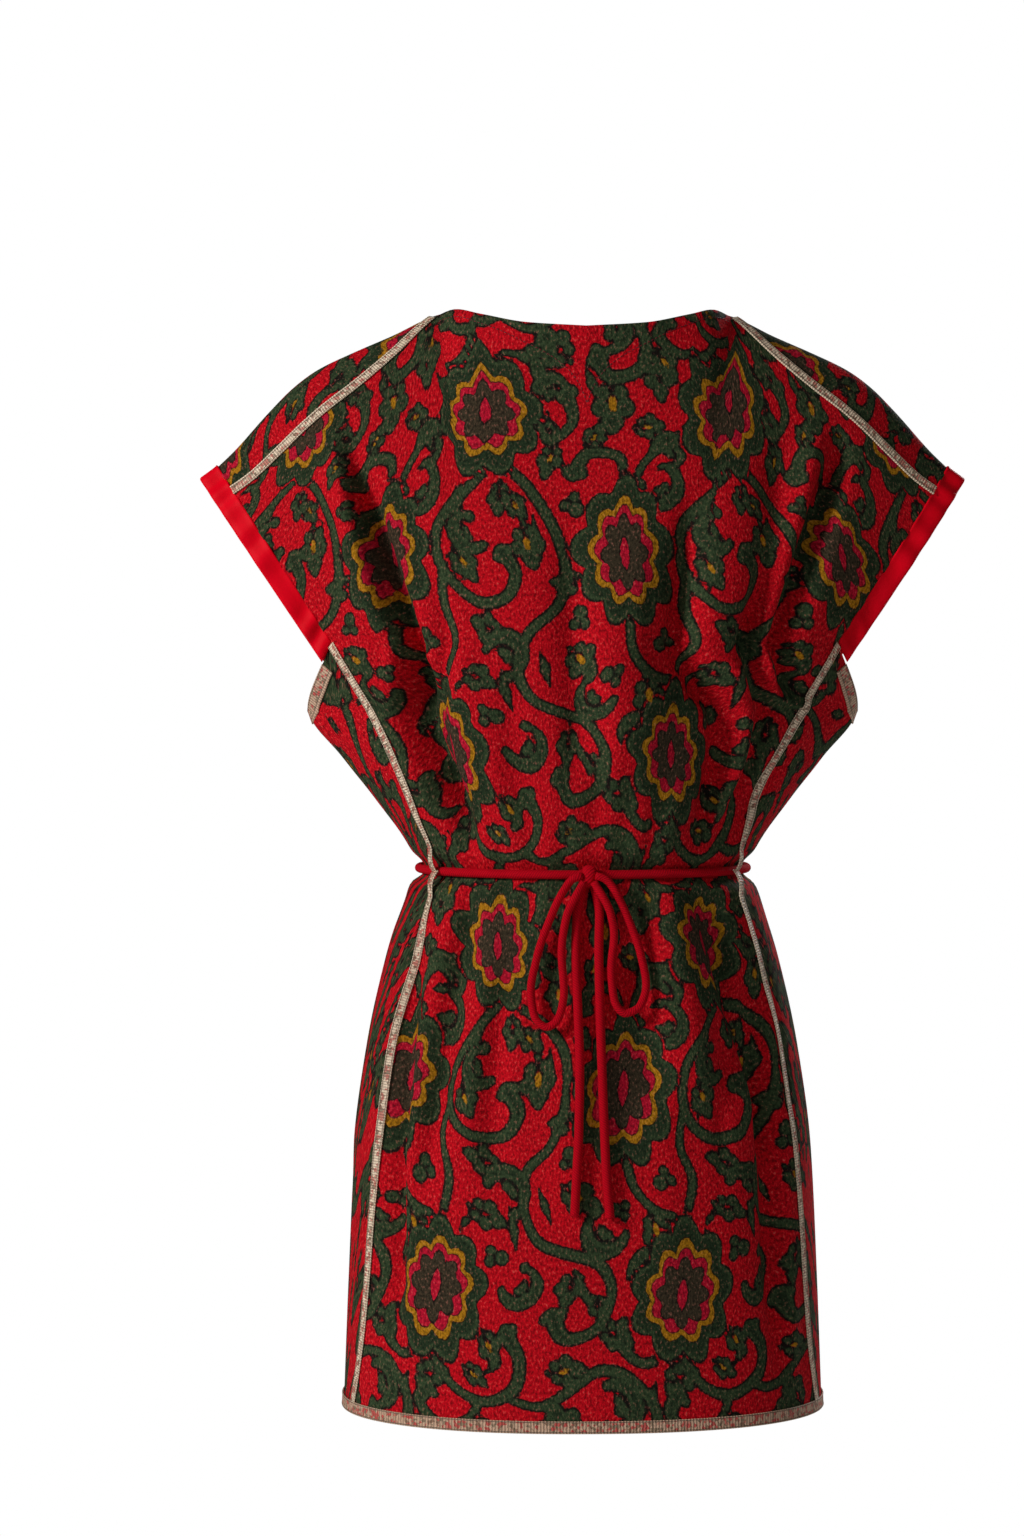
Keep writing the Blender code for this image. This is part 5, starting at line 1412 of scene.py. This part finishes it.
# Routes of the bow: across and height on the front, then how far the cord's middle lies off the cloth
LOOP_LEFT = [
    (-0.0030, -0.4262, 0.0100),
    (-0.0085, -0.4282, 0.0115),
    (-0.0150, -0.4350, 0.0115),
    (-0.0262, -0.4560, 0.0090),
    (-0.0380, -0.4880, 0.0060),
    (-0.0427, -0.5130, 0.0048),
    (-0.0400, -0.5310, 0.0046),
    (-0.0312, -0.5385, 0.0046),
    (-0.0222, -0.5310, 0.0048),
    (-0.0185, -0.5110, 0.0060),
    (-0.0200, -0.4850, 0.0085),
    (-0.0165, -0.4600, 0.0112),
    (-0.0088, -0.4425, 0.0118),
    (-0.0035, -0.4330, 0.0110),
]
LOOP_RIGHT = [
    (0.0030, -0.4262, 0.0100),
    (0.0088, -0.4282, 0.0115),
    (0.0158, -0.4355, 0.0115),
    (0.0285, -0.4610, 0.0090),
    (0.0380, -0.4870, 0.0060),
    (0.0418, -0.5080, 0.0048),
    (0.0365, -0.5240, 0.0046),
    (0.0262, -0.5285, 0.0046),
    (0.0182, -0.5180, 0.0048),
    (0.0160, -0.4950, 0.0060),
    (0.0180, -0.4720, 0.0085),
    (0.0150, -0.4560, 0.0112),
    (0.0088, -0.4425, 0.0118),
    (0.0035, -0.4330, 0.0110),
]
TAIL_LEFT = [
    (-0.0030, -0.4310, 0.0046),
    (-0.0055, -0.4410, 0.0046),
    (-0.0085, -0.4560, 0.0046),
    (-0.0098, -0.4850, 0.0046),
    (-0.0085, -0.5250, 0.0046),
    (-0.0072, -0.5650, 0.0046),
    (-0.0080, -0.6150, 0.0046),
    (-0.0098, -0.6500, 0.0046),
    (-0.0112, -0.6780, 0.0046),
]
TAIL_RIGHT = [
    (0.0030, -0.4310, 0.0046),
    (0.0055, -0.4410, 0.0046),
    (0.0078, -0.4560, 0.0046),
    (0.0072, -0.4850, 0.0046),
    (0.0078, -0.5250, 0.0046),
    (0.0090, -0.5650, 0.0046),
    (0.0108, -0.6150, 0.0046),
    (0.0124, -0.6500, 0.0046),
    (0.0150, -0.6800, 0.0046),
]
ROUTE_POINTS = 120
WAIST_RING_STEPS = 400
# Passes that even out the ring over the gathers, and the spacing of the cord's sections
RING_SMOOTHING = 6
RING_STEP, STRAND_STEP = 0.0025, 0.0022
# Share of the knot's size inside which a strand is hidden
KNOT_HIDES = 0.80
KNOT_LOW, KNOT_HIGH = (np.array(corner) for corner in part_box("tie_knot"))
KNOT_CENTRE = (KNOT_LOW + KNOT_HIGH) / 2
KNOT_SIZE = (KNOT_HIGH - KNOT_LOW) / 2

cord_yarn, tree, shader = new_material("red_cord_yarn")
on_cord = cloth_map(tree)
turned = add_node(tree, "Mapping", {"Rotation": (0, 0, math.radians(32)), "Vector": on_cord})
ply = add_node(tree, "TexWave", {"Scale": 190, "Distortion": 2.2, "Detail": 2, "Detail Scale": 2.5,
                                 "Vector": turned.outputs["Vector"]})
fuzz = add_node(tree, "TexNoise", {"Scale": 1400, "Detail": 3, "Vector": on_cord})
height = calc(tree, "MULTIPLY_ADD", fuzz.outputs["Fac"], 0.8, ply.outputs["Fac"])
# Darker where the yarn's surface is low, in the grooves between the plies and in the fuzz: painted shade,
# from the same height as the bump.
tone = mix_colours(tree, (0.28, 0.0, 0.005, 1), (0.64, 0.001, 0.012, 1), remap(tree, height, 0, 1.3))
feed(tree, shader, {"Roughness": 0.85, "Specular IOR Level": 0.08, "Base Color": tone,
                    "Normal": bumped(tree, height, 0.7, 0.0006)})


def cord_tube(name, path, radius, ring=False):
    """A round cord along a path, with frames that don't twist."""
    run = unit(np.gradient(path, axis=0))
    side = np.cross(run[0], (0.0, 1.0, 0.0))
    sides = []
    for direction in run:
        side = side - direction * (side * direction).sum()
        side = side / np.linalg.norm(side)
        sides.append(side)
    sides = np.array(sides)
    made = swept(name, path, sides, np.cross(sides, run), ROUND, radius, radius, ring)
    made.data.materials.append(cord_yarn)
    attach(made, "root")
    return made


def along_line(path, step):
    """The same path with evenly spaced points."""
    travelled = travelled_along(path)
    even = np.linspace(0, travelled[-1], max(2, int(travelled[-1] / step)))
    return np.stack([np.interp(even, travelled, path[:, which]) for which in range(3)], axis=1)


def front_route(route, count):
    """A smooth path on the front through a cord's own points: across, height, and its lift off the cloth."""
    route = np.array(route)
    length = travelled_along(route[:, :2])
    even = np.linspace(0, length[-1], count)
    x, z, lift = (smooth_curve(length, route[:, which])(even) for which in range(3))
    level = np.interp(-z, [-row[1] for row in LEVEL_HEIGHTS], [row[0] for row in LEVEL_HEIGHTS])
    height = level_height(level)
    reach = np.abs(x) / SECTION["width"](height)
    share = share_of(reach, level, SECTION["roundness"](height)) * np.sign(x)
    cloth_at = surface_point(FRONT, share, level)
    forward = plain_point(FRONT, share, level)
    normal = surface_frame(plain_point, FRONT, share, level)[2]
    out = np.maximum(0, ((cloth_at - forward) * normal).sum(axis=1))
    return forward + normal * (out + lift)[:, None]


def outside_knot(path):
    """The stretch of a cord's path that shows outside the knot."""
    inside = (((path - KNOT_CENTRE) / (KNOT_SIZE * KNOT_HIDES)) ** 2).sum(axis=1) < 1
    half = len(path) // 2
    first = max([place + 1 for place in np.flatnonzero(inside) if place < half], default=0)
    last = min([place for place in np.flatnonzero(inside) if place >= half], default=len(path))
    return path[first:last]


waist_turns = np.linspace(-2, 2, WAIST_RING_STEPS + 1)
sheets, across = round_place(np.clip(waist_turns, -2 + 1e-9, 2 - 1e-9))
waist_levels = np.full(len(waist_turns), WAIST)
ring_path = surface_point(sheets, across, waist_levels)
ring_path = ring_path + surface_normal(sheets, across, waist_levels) * (CORD_RADIUS + CORD_LIFT)
ring_path[:, 2] = WAIST_HEIGHT
for _ in range(RING_SMOOTHING):
    ring_path[1:-1] = (ring_path[:-2] + 2 * ring_path[1:-1] + ring_path[2:]) / 4
waist = cord_tube("tie_cord_waist_yarn", along_line(ring_path, RING_STEP)[:-1], CORD_RADIUS, ring=True)
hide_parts("tie_cord_waist")

for name, route, radius, far_end in (
    ("tie_loop_left", LOOP_LEFT, LOOP_RADIUS, "object"),
    ("tie_loop_right", LOOP_RIGHT, LOOP_RADIUS, "object"),
    ("tie_tail_left", TAIL_LEFT, TAIL_RADIUS, "bare"),
    ("tie_tail_right", TAIL_RIGHT, TAIL_RADIUS, "bare"),
):
    path = outside_knot(along_line(front_route(route, ROUTE_POINTS), STRAND_STEP))
    strand = cord_tube(f"{name}_yarn", path, radius)
    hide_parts(name)

# Knot
# The cord's own turn: one strand comes over the front of the crossing and draws it together.
KNOT_RING_STEPS = 40
KNOT_BAND_HALF_WIDTH, KNOT_BAND_HALF_THICKNESS = 0.0052, 0.0032
# How far the band's middle runs round the crossing: a little askew, forward and back, up and down
KNOT_BAND_REACH = (0.0008, 0.0046, 0.0056)
# Rounded strands beside and below the band: places across and up, and their half sizes
KNOT_LOBES = [(-0.0046, 0.0012), (0.0046, 0.0012), (-0.0034, -0.0034), (0.0034, -0.0034)]
KNOT_LOBE_SIZE = (0.0040, 0.0050, 0.0042)
KNOT_LOBE_BACK = 0.0006

strand_turn = np.linspace(0, 2 * math.pi, KNOT_RING_STEPS, endpoint=False)
over_front = KNOT_CENTRE + np.stack([np.sin(strand_turn), np.cos(strand_turn), np.sin(strand_turn)],
                                    axis=1) * KNOT_BAND_REACH
band_outline = [(KNOT_BAND_HALF_WIDTH * across, KNOT_BAND_HALF_THICKNESS * up) for across, up in ROUND]
band = swept("tie_knot_yarn", over_front, np.broadcast_to((1.0, 0.0, 0.0), over_front.shape),
             unit((over_front - KNOT_CENTRE) * (0, 1, 1)), band_outline, 1.0, 1.0, ring=True)
core = bmesh.new()
core.from_mesh(band.data)
for aside, up in KNOT_LOBES:
    lobe = bmesh.ops.create_uvsphere(core, u_segments=20, v_segments=14, radius=1)["verts"]
    bmesh.ops.scale(core, vec=KNOT_LOBE_SIZE, verts=lobe)
    bmesh.ops.translate(core, vec=KNOT_CENTRE + np.array((aside, KNOT_LOBE_BACK, up)), verts=lobe)
for face in core.faces:
    face.smooth = True
core.to_mesh(band.data)
core.free()
band.data.materials.append(cord_yarn)
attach(band, "root")
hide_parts("tie_knot")

# Stitches round the neck
# The neck edge is turned in and held by a line of small red machine stitches, one centimetre below it.
STITCH_LENGTH = 0.0024
STITCH_PITCH = 0.0034
STITCH_RADIUS = 0.00040
STITCH_LIFT = 0.0001
NECK_TURNING = 0.010
# Steps in which the line of stitches is moved down the cloth from the neck edge
TURNING_STEPS = 4
NECK_LINE_POINTS = 400

thread, tree, shader = new_material("sewing_thread")
place = add_node(tree, "TexCoord")
twist = add_node(tree, "TexNoise", {"Scale": 900, "Vector": place.outputs["Object"]})
tone = mix_colours(tree, (0.05, 0.001, 0.003, 1), (0.22, 0.003, 0.008, 1), twist.outputs["Fac"])
feed(tree, shader, {"Roughness": 0.6, "Base Color": tone})


def neck_line(sheet):
    shares = np.linspace(-NECK_SHARE * 0.985, NECK_SHARE * 0.985, NECK_LINE_POINTS)
    levels = SHOULDER_SEAM[0] * neck_turning_run(shares) * (sheet == FRONT)
    for _ in range(TURNING_STEPS):
        down = surface_frame(plain_point, sheet, shares, levels)[1]
        levels = levels + NECK_TURNING / TURNING_STEPS / np.linalg.norm(down, axis=1)
    points = surface_point(sheet, shares, levels)
    return points, surface_normal(np.full(len(shares), sheet), shares, levels)


def stitches(name, points, normals):
    """A row of short rounded threads along a line on the cloth."""
    travelled = travelled_along(points)
    shape = bmesh.new()
    for start in np.arange(STITCH_PITCH / 2, travelled[-1] - STITCH_PITCH, STITCH_PITCH):
        first, last = (np.array([np.interp(at, travelled, points[:, which]) for which in range(3)])
                       for at in (start, start + STITCH_LENGTH))
        at = int(np.argmin(np.abs(travelled - start)))
        run, up = unit(last - first), normals[at]
        across = np.cross(run, up)
        bead = bmesh.ops.create_uvsphere(shape, u_segments=8, v_segments=6, radius=1)["verts"]
        for vertex in bead:
            local = vertex.co.copy()
            out = local.y * STITCH_RADIUS + STITCH_LIFT
            vertex.co = ((first + last) / 2 + run * local.z * STITCH_LENGTH / 2
                         + across * local.x * STITCH_RADIUS + up * out)
    bmesh.ops.recalc_face_normals(shape, faces=shape.faces)
    made = mesh_object(name, shape)
    made.data.materials.append(thread)
    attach(made, "root")
    return made


front_stitches = stitches("neck_stitches_front", *neck_line(FRONT))
back_stitches = stitches("neck_stitches_back", *neck_line(BACK))
